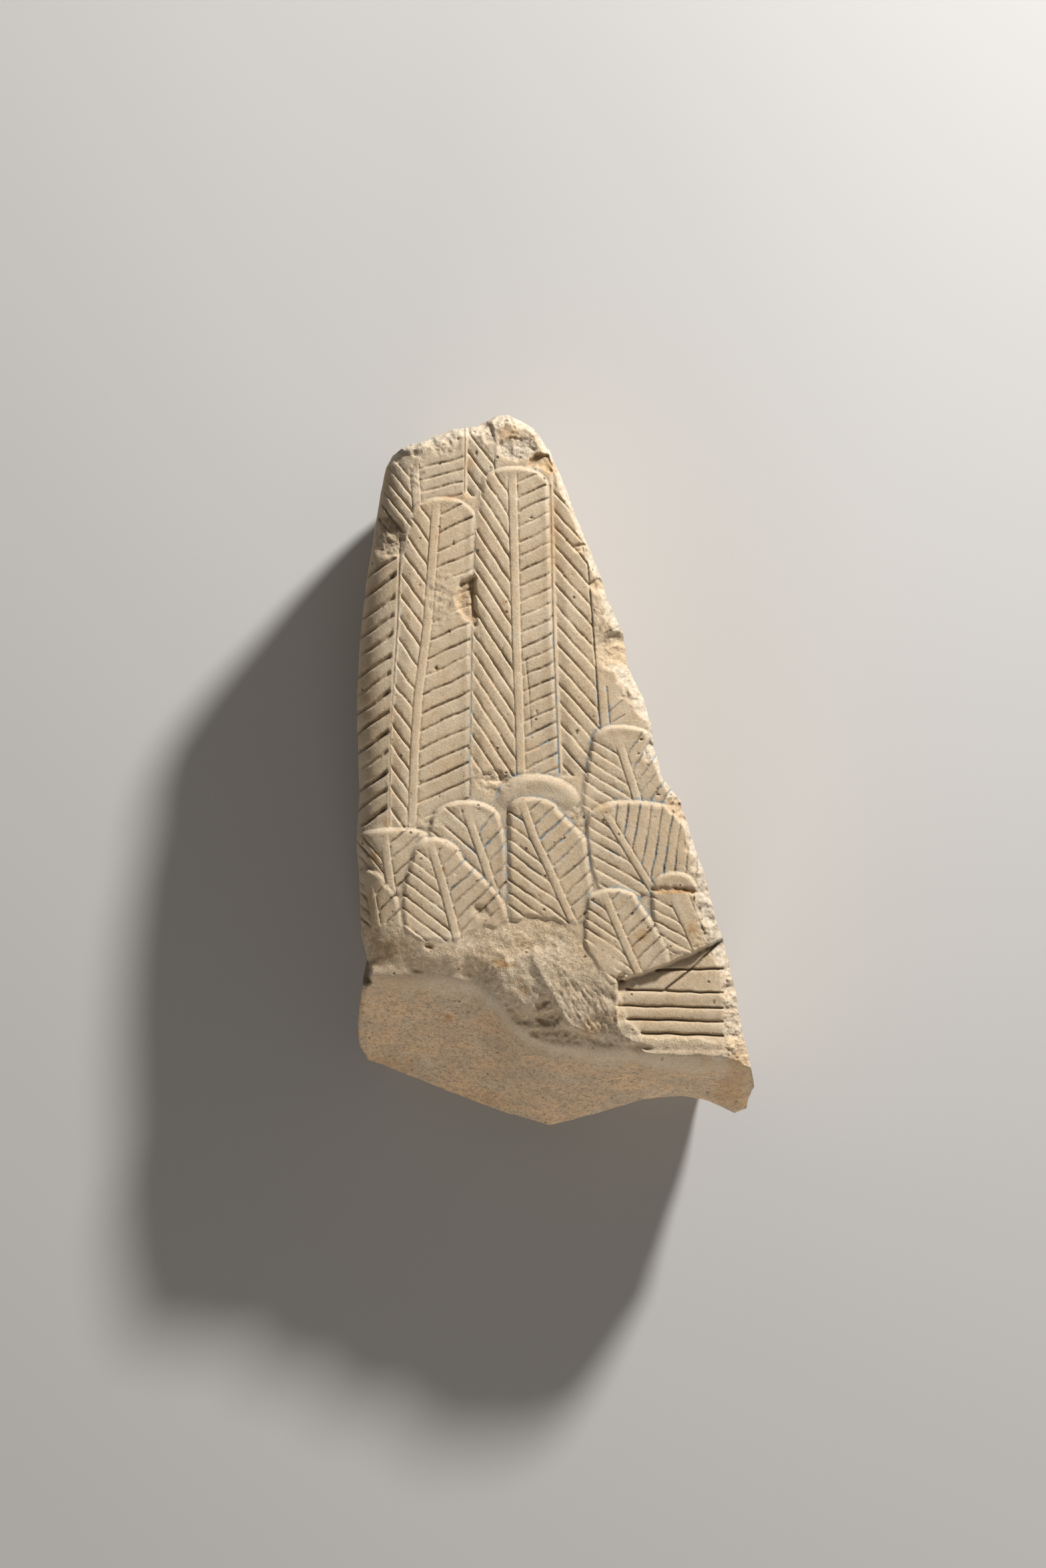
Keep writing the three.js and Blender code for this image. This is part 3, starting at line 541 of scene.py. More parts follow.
def carve_face(sheet):
    """Level face, turned away at the left, broken off at the right and top."""
    a, d = sheet.across, sheet.down
    from_left = np.clip((a - chain_at(LEFT_CHAIN, d, 1, 0)) * UNIT / SIDE_RADIUS, 0, 1)
    turned = SIDE_RADIUS * (1 - (1 - (1 - from_left) ** SIDE_CURVE) ** (1 / SIDE_CURVE))
    uneven = 1 + 0.4 * layers(a, d, 26, 3, 21)
    right_run = np.interp(d, RIGHT_RIM[:, 0], RIGHT_RIM[:, 1]) * uneven
    from_right = np.clip((chain_at(RIGHT_CHAIN, d, 1, 0) - a) / right_run, 0, 1)
    from_top = np.clip((d - chain_at(TOP_CHAIN, a, 0, 1)) / (TOP_RIM * uneven), 0, 1)
    near_rim = 1 - np.minimum(from_right, from_top)
    sheet.rim = ramp(near_rim, 0, 0.5)
    rough = (0.3 * layers(a, d, 17, 2, 31) + 0.13 * layers(a, d, 7, 2, 33)) * ramp(near_rim, 0, 0.2)
    broad = 0.1 * layers(a, d, 150, 2, 41) - 0.12
    sheet.face = THICKNESS - np.maximum(turned, BROKEN_RIM * near_rim ** 1.6) + rough + broad
    sheet.height[:] = sheet.face
    sheet.masks["fresh"][:] = sheet.rim
    sheet.masks["rough"][:] = ramp(near_rim, 0, 0.3)


def feather_lines(feather, down):
    """Left edge, shaft and right edge of a feather for each row of the sheet, with its rounded tip."""
    rows = np.array(feather["rows"], dtype=float)
    lines = [np.interp(down, rows[:, 0], rows[:, column]) for column in (1, 2, 3)]
    if "tip" in feather:
        tip_across, tip_down = feather["tip"]
        share = np.clip((down - tip_down) / (rows[0, 0] - tip_down), 0, 1)
        width = np.sqrt(1 - (1 - share) ** 2)
        lean = (rows[1, 2] - rows[0, 2]) / (rows[1, 0] - rows[0, 0])
        lines[0] = tip_across + (lines[0] - tip_across) * width
        lines[1] = lines[1] - np.maximum(rows[0, 0] - down, 0) * lean
        lines[2] = tip_across + (lines[2] - tip_across) * width
    return lines


def groove_profile(distance, width, depth):
    """Depth of a groove with a rounded V section at a distance from its middle, in millimetres."""
    return depth * np.clip(1 - np.abs(distance) / (width / 2), 0, 1) ** 1.1


def shingle_profile(below, spacing, wide):
    """Depth at a distance below a barb's groove: a steep wall below it, and a slope above it."""
    slope = np.minimum(BARB_SLOPE * wide, 0.46 * spacing)
    wall_side = np.clip(1 - below / BARB_WALL, 0, 1)
    slope_side = np.clip(1 + below / slope, 0, 1) ** 1.2
    return np.where(below > 0, wall_side, slope_side)


def vane_grooves(a, d, lines, vane, side, wide, seed):
    """How deep one vane is cut: each barb falls from its sharp upper edge to the groove below it."""
    slope, first, pitch, share = vane
    shaft = lines[1][:, None]
    lean = np.gradient(lines[1])[:, None]
    gap = side * (a - shaft) - SHAFT_HALF
    root = d + gap / np.maximum(1 / slope + side * lean, 0.08)
    root = root + 1.8 * layers(a, d, 40, 2, seed)
    steepness = np.maximum(np.hypot(*np.gradient(root)), 0.3)
    number = np.round((root - first) / pitch)
    luck = np.random.default_rng(seed).uniform(-1, 1, (2, 64))
    place = np.clip(number, 0, 63).astype(int)
    middle = first + number * pitch + luck[0][place] * pitch * 0.07
    below = (root - middle) / steepness * UNIT + 0.06 * layers(a, d, 6, 2, seed + 3)
    spacing = pitch / steepness * UNIT
    depth = shingle_profile(below, spacing, wide) * (1 + 0.25 * luck[1][place])
    fall = (root - middle) / pitch
    fall = BARB_SLANT * np.where(fall < 0, 1 + fall, fall)
    shown = (gap > 0) & (number >= 0)
    # A thin line along each barb's sharp upper edge, later painted pale as a highlight
    edge = np.exp(-((below - BARB_WALL - 0.08) / 0.12) ** 2)
    return (BARB_DEPTH * share * depth + fall) * shown, depth * shown, edge * shown


def feather_shape(sheet, feather, window, lines, inside):
    """Surface of a feather before its barbs: it stands highest at its tip and sinks towards its base."""
    rows = np.array(feather["rows"], dtype=float)
    top_down = feather["tip"][1] if "tip" in feather else rows[0, 0]
    a, d = sheet.across[window], sheet.down[window]
    left, shaft = lines[0][:, None], lines[1][:, None]
    share = np.clip((d - top_down) / (rows[-1, 0] - top_down), 0, 1)
    top = sheet.face[window] + feather.get("lift", 0) * FEATHER_STEP * (1 - FEATHER_SINK * share)
    if "tip" in feather:
        top = top - feather.get("lip", LIP) * ramp(soften(inside, feather.get("run", LIP_RUN)), 0.66, 0.99)
    tuck = feather.get("tuck", 0) * (1 - ramp(a - left, 0, TUCK_RUN))
    rib = SHAFT_RIB * np.clip(1 - ((a - shaft) / SHAFT_HALF) ** 2, 0, 1)
    return top - tuck + rib


def feather_cuts(sheet, feather, window, lines, inside, seed):
    """Shaft lines and barbs of a feather: what they take off, how deep they are, and their upper edges."""
    a, d = sheet.across[window], sheet.down[window]
    wear = sheet.wear[window]
    left, shaft, right = (line[:, None] for line in lines)
    tip_rim = ramp(soften(inside, TIP_RIM / 2), 0.7, 0.98)
    plain = feather.get("plain", 1)
    side_rim = ramp(np.minimum(a - left, right - a), plain - 3, plain + 3)
    inner = tip_rim if "tip" in feather else side_rim
    inner = np.where(d < feather["rows"][0][0], inner, side_rim) * wear
    lean = np.gradient(lines[1])[:, None]
    cut, deep, edge = np.zeros_like(a), np.zeros_like(a), np.zeros_like(a)
    for vane_name, side in (("left", -1), ("right", 1)):
        if vane_name not in feather:
            continue
        vane = feather[vane_name]
        vane_cut, vane_deep, vane_highlight_edge = vane_grooves(a, d, lines, vane, side, feather.get("wide", 1),
                                                      seed + side)
        starts = ramp(d, vane[1] - vane[2], vane[1])
        distance = (a - shaft - side * SHAFT_HALF) / np.hypot(1, lean) * UNIT
        line = groove_profile(distance, SHAFT_WIDTH, 1) * starts * (0.4 + 0.6 * wear)
        cut = np.maximum(cut, np.maximum(vane_cut * inner, SHAFT_DEPTH * line))
        # Right vanes run along the light and show little shade of their own, so their grooves get more
        # painted shade
        deep = np.maximum(deep, np.maximum(vane_deep * inner * (0.75 if side < 0 else 1.0), 0.8 * line))
        edge = np.maximum(edge, vane_highlight_edge * inner)
    return cut, deep, edge


def mark_feather(sheet, feather, window, inside, cover, deep, edge):
    """Masks of a feather: dirt, painted shade and blue in its grooves, a painted shadow with blue behind its
    tip, pale where it is worn, and a painted highlight along its barbs' upper edges.
    """
    # A painted shadow along the foot of a raised feather's edge, with some blue there too
    shadow = np.clip(soften(inside, 2.5) * (1 - inside) * 2.2, 0, 1) * 0.8 * ("lift" in feather)
    for name in GROOVE_MASKS:
        mask = sheet.masks[name][window]
        mask = mask * (1 - cover) + ramp(deep, 0.45, 1.0) * cover
        sheet.masks[name][window] = np.maximum(mask, shadow)
    fresh = sheet.masks["fresh"][window]
    near_edge = soften(inside, 4)
    worn_edge = 1.8 * near_edge * (1 - near_edge) * ("tip" in feather)
    plain = np.full_like(edge, feather.get("fresh", 0))
    # Pale where broken or worn, and a painted highlight along the barbs' upper edges
    pale = np.maximum.reduce([sheet.rim[window], worn_edge, 0.45 * edge, plain])
    sheet.masks["fresh"][window] = fresh * (1 - cover) + pale * cover


def carve_feather(sheet, feather, seed):
    """Adds one feather in front of what is there: its step, its shaft lines and its barbs."""
    rows = np.array(feather["rows"], dtype=float)
    top_down = feather["tip"][1] if "tip" in feather else rows[0, 0]
    corners = [(rows[:, 1].min(), top_down), (rows[:, 3].max(), rows[-1, 0])]
    window, a, d = sheet.part(corners, 24)
    lines = feather_lines(feather, sheet.rows[window[0]])
    left, right = lines[0][:, None], lines[2][:, None]
    inside = ((a > left) & (a < right) & (d > top_down) & (d < rows[-1, 0])).astype(float)
    cover = soften(inside, 1.3)
    step = cover
    if "tip" in feather:
        step = np.clip(2 * soften(inside, feather.get("round", TIP_ROUND)) - 1, 0, 1)
    top = feather_shape(sheet, feather, window, lines, inside)
    cut, deep, edge = feather_cuts(sheet, feather, window, lines, inside, seed)
    sheet.height[window] = sheet.height[window] * (1 - step) + top * step - cut * cover
    mark_feather(sheet, feather, window, inside, cover, deep, edge)


def carve_line(sheet, points, width, depth):
    """One groove along drawn points, with dirt, painted shade and blue in it."""
    window, a, d = sheet.part(points, 10)
    wobble = 1.2 * layers(a, d, 30, 2, 61)
    nearest = np.full_like(a, 1e9)
    for (a0, d0), (a1, d1) in zip(points[:-1], points[1:]):
        run = np.array((a1 - a0, d1 - d0), dtype=float)
        share = np.clip(((a - a0) * run[0] + (d - d0) * run[1]) / (run @ run), 0, 1)
        nearest = np.minimum(nearest, np.hypot(a - a0 - share * run[0], d + wobble - d0 - share * run[1]))
    cut = groove_profile(nearest * UNIT, width, depth)
    sheet.height[window] -= cut
    for name in GROOVE_MASKS:
        sheet.raise_mask(name, window, cut / depth)


def carve_band(sheet):
    """The banded edge at the lower right, below the feathers, with its long straight lines."""
    a, d = sheet.across, sheet.down
    border = np.interp(a, BAND_BORDER[:, 0], BAND_BORDER[:, 1]) + 1.5 * layers(a, d, 24, 2, 71)
    below = soften(((d > border) & (a > BAND_BORDER[0, 0])).astype(float), 1.2)
    strip = ramp(a, BAND_END - 2, BAND_END + 6)
    rough = (0.3 * layers(a, d, 14, 4, 73, 0.7) - 0.2) * strip
    between = (d - BAND_TOP) / BAND_PITCH % 1
    crown = BAND_CROWN * (1 - (2 * between - 1) ** 2) * (1 - strip) * (d > BAND_TOP)
    floor = sheet.face - BAND_DROP + rough + crown
    sheet.height[:] = sheet.height * (1 - below) + floor * below
    for name in GROOVE_MASKS:
        sheet.masks[name] *= 1 - below
    sheet.masks["fresh"] = np.maximum(sheet.masks["fresh"], strip * below * 0.6)
    sheet.masks["rough"] = np.maximum(sheet.masks["rough"], strip * below)
    sheet.edge_grey = 0.6 * strip * below
    # A painted shadow: the dark strip just below the band's border, under the step down from the feathers
    wall = soften(((d > border) & (d < border + 7) & (a > BAND_BORDER[0, 0])).astype(float), 2.0)
    sheet.masks["dirt_and_shade"] = np.maximum(sheet.masks["dirt_and_shade"], wall * 0.9)
    for line in BAND_LINES:
        carve_line(sheet, line, BAND_WIDTH, BAND_DEPTH)


def rough_strength(sheet):
    """How crumbled the rough break is, from 0 to 1."""
    a, d = sheet.across, sheet.down
    strength = 0.45 + 0.55 * ramp(a, *CRUMBLED_FROM)
    calm = far_from(a, d, *CALM_PLACE)
    return strength * (0.3 + 0.7 * ramp(calm, 0.6, 1.2)) * (1 - 0.6 * ramp(a, *CALMER_FROM))


def crest_height(a, d):
    """Height of the slanting crest: steep at its left, with a long flank at its right."""
    aside = a - np.interp(d, CREST[:, 1], CREST[:, 0])
    fall = np.where(aside > 0, np.exp(-aside / CREST_RIGHT), np.exp(aside / CREST_LEFT))
    return soften(fall * np.interp(d, CREST[:, 1], CREST[:, 2]), 1.5)


def bulge_share(a, d):
    """Where the break bulges at its middle, from 0 to 1."""
    start = np.interp(a, BULGE_LINE[:, 0], BULGE_LINE[:, 1])
    share = ramp(d, start - 6, start + 4) * ramp(a, *BULGE_STARTS) * (1 - ramp(a, *BULGE_ENDS))
    return share * (1 - ramp(d, *BULGE_FADES))


def break_surface(sheet, end, ridge):
    """Even level of the lower break: it falls slowly to the ridge, which has a rounded lip, then steeply."""
    a, d = sheet.across, sheet.down
    foot = np.interp(a, FOOT[:, 0], FOOT[:, 1])
    top = sheet.face - 0.12
    ridge_height = np.minimum(THICKNESS * np.interp(a, RIDGE[:, 0], RIDGE[:, 2]), top)
    foot_height = THICKNESS * np.interp(a, FOOT[:, 0], FOOT[:, 2])
    upper_share = np.clip((d - end) / np.maximum(ridge - end, 1), 0, 1)
    lower_share = np.clip((d - ridge) / np.maximum(foot - ridge, 1), 0, 1.2)
    power = np.interp(a, *np.array(LOSS_POWER).T)
    upper = top + (ridge_height - top) * upper_share ** power
    lower = ridge_height + (foot_height - ridge_height) * lower_share
    lip = np.exp(-((d - ridge + 9) / 11) ** 2) * (1 - 0.5 * ramp(a, *LIP_FADES))
    return soften(np.where(d < ridge, upper, lower), 4) + LIP_HEIGHT * lip


def split_stone(a, d, rough):
    """Fine splits that run down to the right: where they are, and their relief."""
    along, aside = a * 0.57 + d * 0.82, a * 0.82 - d * 0.57
    zone = ramp(a, *SPLITS_START) * (1 - ramp(a, *SPLITS_END)) * ramp(d, *SPLITS_TOP) * rough
    return zone, lattice(aside, along * 0.16, 4.4, 0) + 0.7 * lattice(aside, along * 0.25, 2.4, 0)


def mark_break(sheet, below, ridge, raised, gaps):
    """Masks of the lower break: a painted highlight on the raised crest and bulge, pale along the ridge,
    brown at the left, and dirt and painted shade in the splits.
    """
    a, d = sheet.across, sheet.down
    for name in sheet.masks:
        sheet.masks[name] *= 1 - below
    rear = ramp(d + 5 * layers(a, d, 24, 3, 84), ridge + 3, ridge + 16) * below
    brown_spot = np.clip(1.3 - far_from(a, d, *BROWN_PLACE), 0, 1)
    brown = ramp(layers(a, d, 22, 3, 98), -0.5, 0.4) * brown_spot
    band = np.exp(-((d - ridge + 6) / (16 + 5 * layers(a, d, 20, 2, 83))) ** 2) * (1 - rear)
    sheet.masks["dirt_and_shade"] += below * 0.5 * brown + 0.5 * gaps
    sheet.masks["stain"] += below * 0.45 * brown
    # Paler on the raised crest and bulge as a painted highlight, and pale along the ridge
    sheet.masks["fresh"] += below * (0.4 * np.clip(raised, 0, 1) + 0.45 * band)
    sheet.masks["rough"] += below * (1 - rear) * (1 - 0.7 * band)
    sheet.masks["rear"] = np.maximum(rear, sheet.edge_grey * ramp(layers(a, d, 9, 3, 99), -0.5, 0.3))


def carve_lower_break(sheet):
    """Rough break below the carving, its rounded ridge, and the smooth steep break below that."""
    a, d = sheet.across, sheet.down
    end = np.interp(a, CARVING_END[:, 0], CARVING_END[:, 1]) + 5 * layers(a, d, 26, 3, 81)
    ridge = np.interp(a, RIDGE[:, 0], RIDGE[:, 1]) + 1.6 * layers(a, d, 60, 2, 82)
    crest, bulge = crest_height(a, d), bulge_share(a, d)
    surface = break_surface(sheet, end, ridge) + crest + BULGE_HEIGHT * bulge
    rough = ramp(d, end - 2, end + 24) * (1 - ramp(d, ridge - 22, ridge - 12)) * rough_strength(sheet)
    zone, splits = split_stone(a, d, rough)
    bumps = 0.4 * layers(a, d, 54, 2, 93) + 0.17 * layers(a, d, 17, 3, 94) + 0.05 * layers(a, d, 5, 2, 97)
    mottle = 0.22 * layers(a, d, 110, 2, 95) + 0.04 * layers(a, d, 12, 2, 96)
    surface = surface + rough * bumps + zone * SPLIT_DEPTH * splits + mottle * (1 - rough)
    below = soften((d > end).astype(float), 1.6)
    sheet.height[:] = sheet.height * (1 - below) + np.minimum(surface, sheet.height + 0.3) * below
    mark_break(sheet, below, ridge, crest + bulge, zone * ramp(-splits, 0.1, 0.7))


def inside_polygon(a, d, points):
    """1 inside a closed outline of drawn points, and 0 outside."""
    within = np.zeros(a.shape, dtype=bool)
    for (a0, d0), (a1, d1) in zip(points, points[1:] + points[:1]):
        if d0 == d1:
            continue
        crosses = (d0 > d) != (d1 > d)
        within ^= crosses & (a < a0 + (d - d0) * (a1 - a0) / (d1 - d0))
    return within.astype(float)


def carve_hollows(sheet):
    """Chips and hollows, each with a steep uneven edge and a rough floor."""
    for index, hollow in enumerate(HOLLOWS):
        points = hollow["points"]
        window, a, d = sheet.part(points, 10)
        ragged_a = a + 2.2 * layers(a, d, 9, 3, 101 + index)
        ragged_d = d + 2.2 * layers(a, d, 9, 3, 131 + index)
        within = inside_polygon(ragged_a, ragged_d, points)
        high, low = min(p[1] for p in points), max(p[1] for p in points)
        at_top, at_bottom = hollow["depth"]
        depth = at_top + (at_bottom - at_top) * np.clip((d - high) / (low - high), 0, 1)
        rough = HOLLOW_UNEVEN * layers(a, d, 9, 3, 161 + index)
        edge = soften(within, hollow.get("soft", 1.4))
        sheet.height[window] -= edge * np.maximum(depth + rough, 0)
        sheet.raise_mask("rough", window, edge)
        for name in GROOVE_MASKS:
            sheet.masks[name][window] *= 1 - edge
        stain = 0.35 * hollow.get("brown", 0)
        values = {"fresh": hollow.get("fresh", 0), "stain": stain, "dirt_and_shade": hollow.get("dirt_and_shade", stain)}
        for name, value in values.items():
            mask = sheet.masks[name][window]
            sheet.masks[name][window] = np.maximum(mask * (1 - edge), edge * value)


def crumble(sheet):
    """Lumps and pits where the stone is weathered."""
    for index, (middle, half_sizes, amount) in enumerate(ROUGH_ZONES):
        window, a, d = sheet.part_around(middle, half_sizes, 16)
        far = far_from(a, d, middle, half_sizes) + 0.3 * layers(a, d, 22, 2, 191 + index)
        strength = 1 - ramp(far, 0.5, 1.25)
        lumps = layers(a, d, 11, 3, 211 + index, 0.65) - 0.3
        sheet.height[window] += amount * strength * lumps
        pits = ramp(-lumps, 0.55, 1.1) * strength
        sheet.raise_mask("dirt_and_shade", window, pits * 0.6)
        sheet.raise_mask("rough", window, 0.5 * strength)


def carve_pores(sheet):
    """Small round pores all over the front."""
    luck = np.random.default_rng(PORE_SEED)
    for _ in range(PORES):
        across = luck.uniform(DRAWN_LEFT + 6, DRAWN_RIGHT - 6)
        down = luck.uniform(DRAWN_TOP + 6, DRAWN_BOTTOM - 6)
        radius = luck.uniform(0.6, 1.0) + 2.2 * luck.uniform() ** 9
        window, a, d = sheet.part([(across, down)], 7)
        stretch = luck.uniform(0.5, 1.6)
        far = np.hypot(a - across, (d - down) * stretch + 0.4 * (a - across)) / radius
        far = far + 0.5 * lattice(a, d, 3.2, 9)
        if a.size == 0:
            continue
        dish = np.clip(1.25 - far ** 2, 0, 1)
        front = 1 - sheet.sample(sheet.masks["rear"], np.array([across]), np.array([down]))[0]
        sheet.height[window] -= dish * radius * UNIT * 0.9 * front
        tone = luck.uniform(0.2, 0.7) * front
        for name, value in (("dirt_and_shade", tone), ("stain", 1.2 * tone)):
            sheet.raise_mask(name, window, dish * value)


def grain(sheet):
    """Slight unevenness of the worn surface."""
    a, d = sheet.across, sheet.down
    sheet.height += 0.018 * layers(a, d, 6, 2, 141) + 0.05 * layers(a, d, 30, 2, 145)


def spots(sheet, places):
    """A mask that is full in the middle of each place and fades at its uneven edge."""
    total = np.zeros_like(sheet.across)
    for middle, half_sizes, strength in places:
        window, a, d = sheet.part_around(middle, half_sizes, max(half_sizes) * 0.6 + 4)
        uneven = 0.45 * layers(a, d, max(min(half_sizes), 3.0), 3, 151)
        far = far_from(a, d, middle, half_sizes) + uneven
        total[window] = np.maximum(total[window], strength * (1 - ramp(far, 0.55, 1.25)))
    return total


def paint(sheet):
    """Keeps the blue where traces of it are left, and adds the rust and ochre spots."""
    a, d = sheet.across, sheet.down
    patchy = ramp(layers(a, d, 9, 3, 161), -0.4, 0.4)
    wide = soften(np.clip(sheet.masks["blue"], 0, 1), 1.0)
    sheet.masks["blue"] = np.clip(2.2 * wide, 0, 1) * np.clip(1.3 * spots(sheet, BLUE_TRACES), 0, 1) * patchy
    specks = ramp(layers(a, d, 12, 3, 171), 0.75, 1.15) * 0.5
    sheet.masks["stain"] = np.maximum(sheet.masks["stain"], spots(sheet, RUST_SPOTS)) + specks
    for name in sheet.masks:
        sheet.masks[name] = np.clip(sheet.masks[name], 0, 1)


def make_sheet():
    """The front, carved step by step: what comes later lies in front of or cuts into what is there."""
    sheet = Sheet()
    carve_face(sheet)
    for index, feather in enumerate(FEATHERS):
        carve_feather(sheet, feather, 200 + 10 * index)
    for line in EDGE_LINES:
        carve_line(sheet, line, EDGE_WIDTH, EDGE_DEPTH)
    for line in CUTS:
        carve_line(sheet, line, CUT_WIDTH, CUT_DEPTH)
    carve_band(sheet)
    carve_lower_break(sheet)
    crumble(sheet)
    carve_hollows(sheet)
    grain(sheet)
    carve_pores(sheet)
    paint(sheet)
    return sheet


def spread(chain, count):
    """A chain of points as that many points at even distances."""
    lengths = np.concatenate([[0], np.cumsum(np.hypot(*np.diff(chain, axis=0).T))])
    places = np.linspace(0, lengths[-1], count)
    return np.column_stack([np.interp(places, lengths, chain[:, 0]), np.interp(places, lengths, chain[:, 1])])


def ragged(points, seed, amount):
    """Moves the points of a broken edge inwards by an uneven amount, except at its ends."""
    inward = BREAK_MIDDLE - points
    inward /= np.hypot(*inward.T)[:, None]
    noise = 0.5 + 0.5 * layers(points[:, 0], points[:, 1], 26, 3, seed)
    ends = np.minimum(np.arange(len(points)), np.arange(len(points))[::-1])
    return points + inward * (np.clip(noise, 0, 1.2) * amount * ramp(ends, 0, 12))[:, None]


def front_points():
    """Drawn places of the front mesh: an even net stretched to the outline."""
    top = ragged(spread(TOP_CHAIN, FRONT_ACROSS), 301, TOP_WEAR)
    bottom = ragged(spread(BOTTOM_CHAIN, FRONT_ACROSS), 302, BOTTOM_WEAR)
    left = ragged(spread(LEFT_CHAIN, FRONT_DOWN), 303, LEFT_WEAR)
    right = ragged(spread(RIGHT_CHAIN, FRONT_DOWN), 304, RIGHT_WEAR)
    u = np.linspace(0, 1, FRONT_ACROSS)[None, :, None]
    v = np.linspace(0, 1, FRONT_DOWN)[:, None, None]
    corners = ((1 - u) * (1 - v) * top[0] + u * (1 - v) * top[-1]
               + (1 - u) * v * bottom[0] + u * v * bottom[-1])
    net = (1 - v) * top[None] + v * bottom[None] + (1 - u) * left[:, None] + u * right[:, None] - corners
    return net


def to_space(across, down, height):
    """Drawn places and heights in millimetres as points in metres."""
    x = (across - MIDDLE_ACROSS) * UNIT
    y = (MIDDLE_DOWN - down) * UNIT
    return np.stack([x, y, height], axis=-1) * MM


def spine_points(points):
    """The nearest place on the spine for each drawn point."""
    run = SPINE[1] - SPINE[0]
    share = np.clip((points - SPINE[0]) @ run / (run @ run), 0, 1)
    return SPINE[0] + share[:, None] * run


def side_rings(border, heights):
    """Rings of points from the front's border down to the back."""
    waist = np.minimum(THICKNESS * WAIST_SHARE, heights)
    inward = spine_points(border) - border
    inward /= np.hypot(*inward.T)[:, None]
    left = 1 - ramp(border[:, 0] - chain_at(LEFT_CHAIN, border[:, 1], 1, 0), 4, 30)
    around = np.vstack([border[-SIDE_BLUR:], border, border[:SIDE_BLUR]])
    smooth = sum(around[i:i + len(border)] for i in range(2 * SIDE_BLUR + 1)) / (2 * SIDE_BLUR + 1)
    smooth = smooth + inward * 2
    rings = []
    for step in range(1, WALL_RINGS + 1):
        share = step / WALL_RINGS
        level = heights * (1 - share)
        inset = BACK_INSET * np.clip((waist - level) / waist, 0, 1) ** 2
        place = np.column_stack([border * UNIT, level])
        rough = (0.75 * solid_noise(place, 14, 401) + 0.45 * solid_noise(place, 6, 402)
                 + 0.2 * solid_noise(place, 2.4, 403))
        rough = (0.6 + rough) * ramp(share, 0, 0.12) * (1 - 0.65 * left)
        edge = border + (smooth - border) * ramp(share, 0.02, 0.4)
        points = edge + inward * ((inset + np.maximum(rough, 0)) / UNIT)[:, None]
        rings.append(np.column_stack([points, level]))
    return rings


def back_net(ring):
    """A net of triangles inside the last ring of the sides, nearly level."""
    spacing = BACK_SPACING / UNIT
    low, high = ring.min(axis=0), ring.max(axis=0)
    a, d = np.meshgrid(np.arange(low[0], high[0], spacing), np.arange(low[1], high[1], spacing))
    luck = np.random.default_rng(501).uniform(-0.3, 0.3, (2,) + a.shape) * spacing
    inner = np.column_stack([(a + luck[0]).ravel(), (d + luck[1]).ravel()])
    toward = ring - spine_points(ring)
    reach = np.hypot(*toward.T)
    spot = inner - spine_points(inner)
    nearest = np.array([np.hypot(*(ring - point).T).argmin() for point in inner])
    keep = np.hypot(*spot.T) < reach[nearest] - spacing * 0.7
    inner = inner[keep]
    verts = [Vector(point) for point in np.vstack([ring, inner])]
    edges = [(i, (i + 1) % len(ring)) for i in range(len(ring))]
    net = delaunay_2d_cdt(verts, edges, [list(range(len(ring)))], 1, 1e-4)
    places = np.array([tuple(vert) for vert in net[0]])
    return places, net[2], net[3]


def front_faces(number):
    """Squares between the points of the front mesh."""
    faces = np.stack([number[:-1, :-1], number[1:, :-1], number[1:, 1:], number[:-1, 1:]], axis=-1)
    return faces.reshape(-1, 4).tolist()


def wall_faces(border, start, count):
    """Faces of the sides: the front's fine border to the first ring, then each ring to the next."""
    faces = []
    for j in range(count):
        fine = [border[(j * WALL_SKIP + k) % len(border)] for k in range(WALL_SKIP + 1)]
        faces.append(fine + [start + (j + 1) % count, start + j])
    for index in range(WALL_RINGS - 1):
        upper = start + index * count
        for j in range(count):
            k = (j + 1) % count
            faces.append([upper + j, upper + k, upper + count + k, upper + count + j])
    return faces


def back_part(ring, last):
    """New points of the back, and its faces, whose border is the last ring of the sides."""
    count = len(ring)
    places, triangles, origins = back_net(ring)
    numbers, extra = [], []
    for place, origin in zip(places, origins):
        from_ring = [i for i in origin if i < count]
        if from_ring:
            numbers.append(last + from_ring[0])
        else:
            numbers.append(last + count + len(extra))
            extra.append(place)
    extra = np.array(extra)
    lift = BACK_UNEVEN * np.clip(layers(extra[:, 0], extra[:, 1], 90, 4, 511) + 0.1, 0, 1)
    faces = [[numbers[i] for i in reversed(triangle)] for triangle in triangles]
    return to_space(extra[:, 0], extra[:, 1], lift), faces


def stone_mesh(sheet):
    """The whole stone as one closed mesh: front, sides and back."""
    net = front_points()
    across, down = net[..., 0], net[..., 1]
    heights = sheet.sample(sheet.height, across, down)
    front = to_space(across, down, heights).reshape(-1, 3)
    number = np.arange(FRONT_ACROSS * FRONT_DOWN).reshape(FRONT_DOWN, FRONT_ACROSS)
    border = np.concatenate([number[0, :-1], number[:-1, -1], number[-1, :0:-1], number[:0:-1, 0]])
    coarse = border[::WALL_SKIP]
    count = len(coarse)
    places = np.column_stack([across.ravel()[coarse], down.ravel()[coarse]])
    rings = side_rings(places, heights.ravel()[coarse])
    walls = [to_space(ring[:, 0], ring[:, 1], ring[:, 2]) for ring in rings]
    last = len(front) + (WALL_RINGS - 1) * count
    back, faces = back_part(rings[-1][:, :2], last)
    faces = front_faces(number) + wall_faces(border, len(front), count) + faces
    mesh = bpy.data.meshes.new("stone_look")
    mesh.from_pydata(np.vstack([front] + walls + [back]).tolist(), [], faces)
    mesh.validate()
    return mesh


def link(name, data):
    """Adds a new object to the scene."""
    made = bpy.data.objects.new(name, data)
    bpy.context.scene.collection.objects.link(made)
    return made


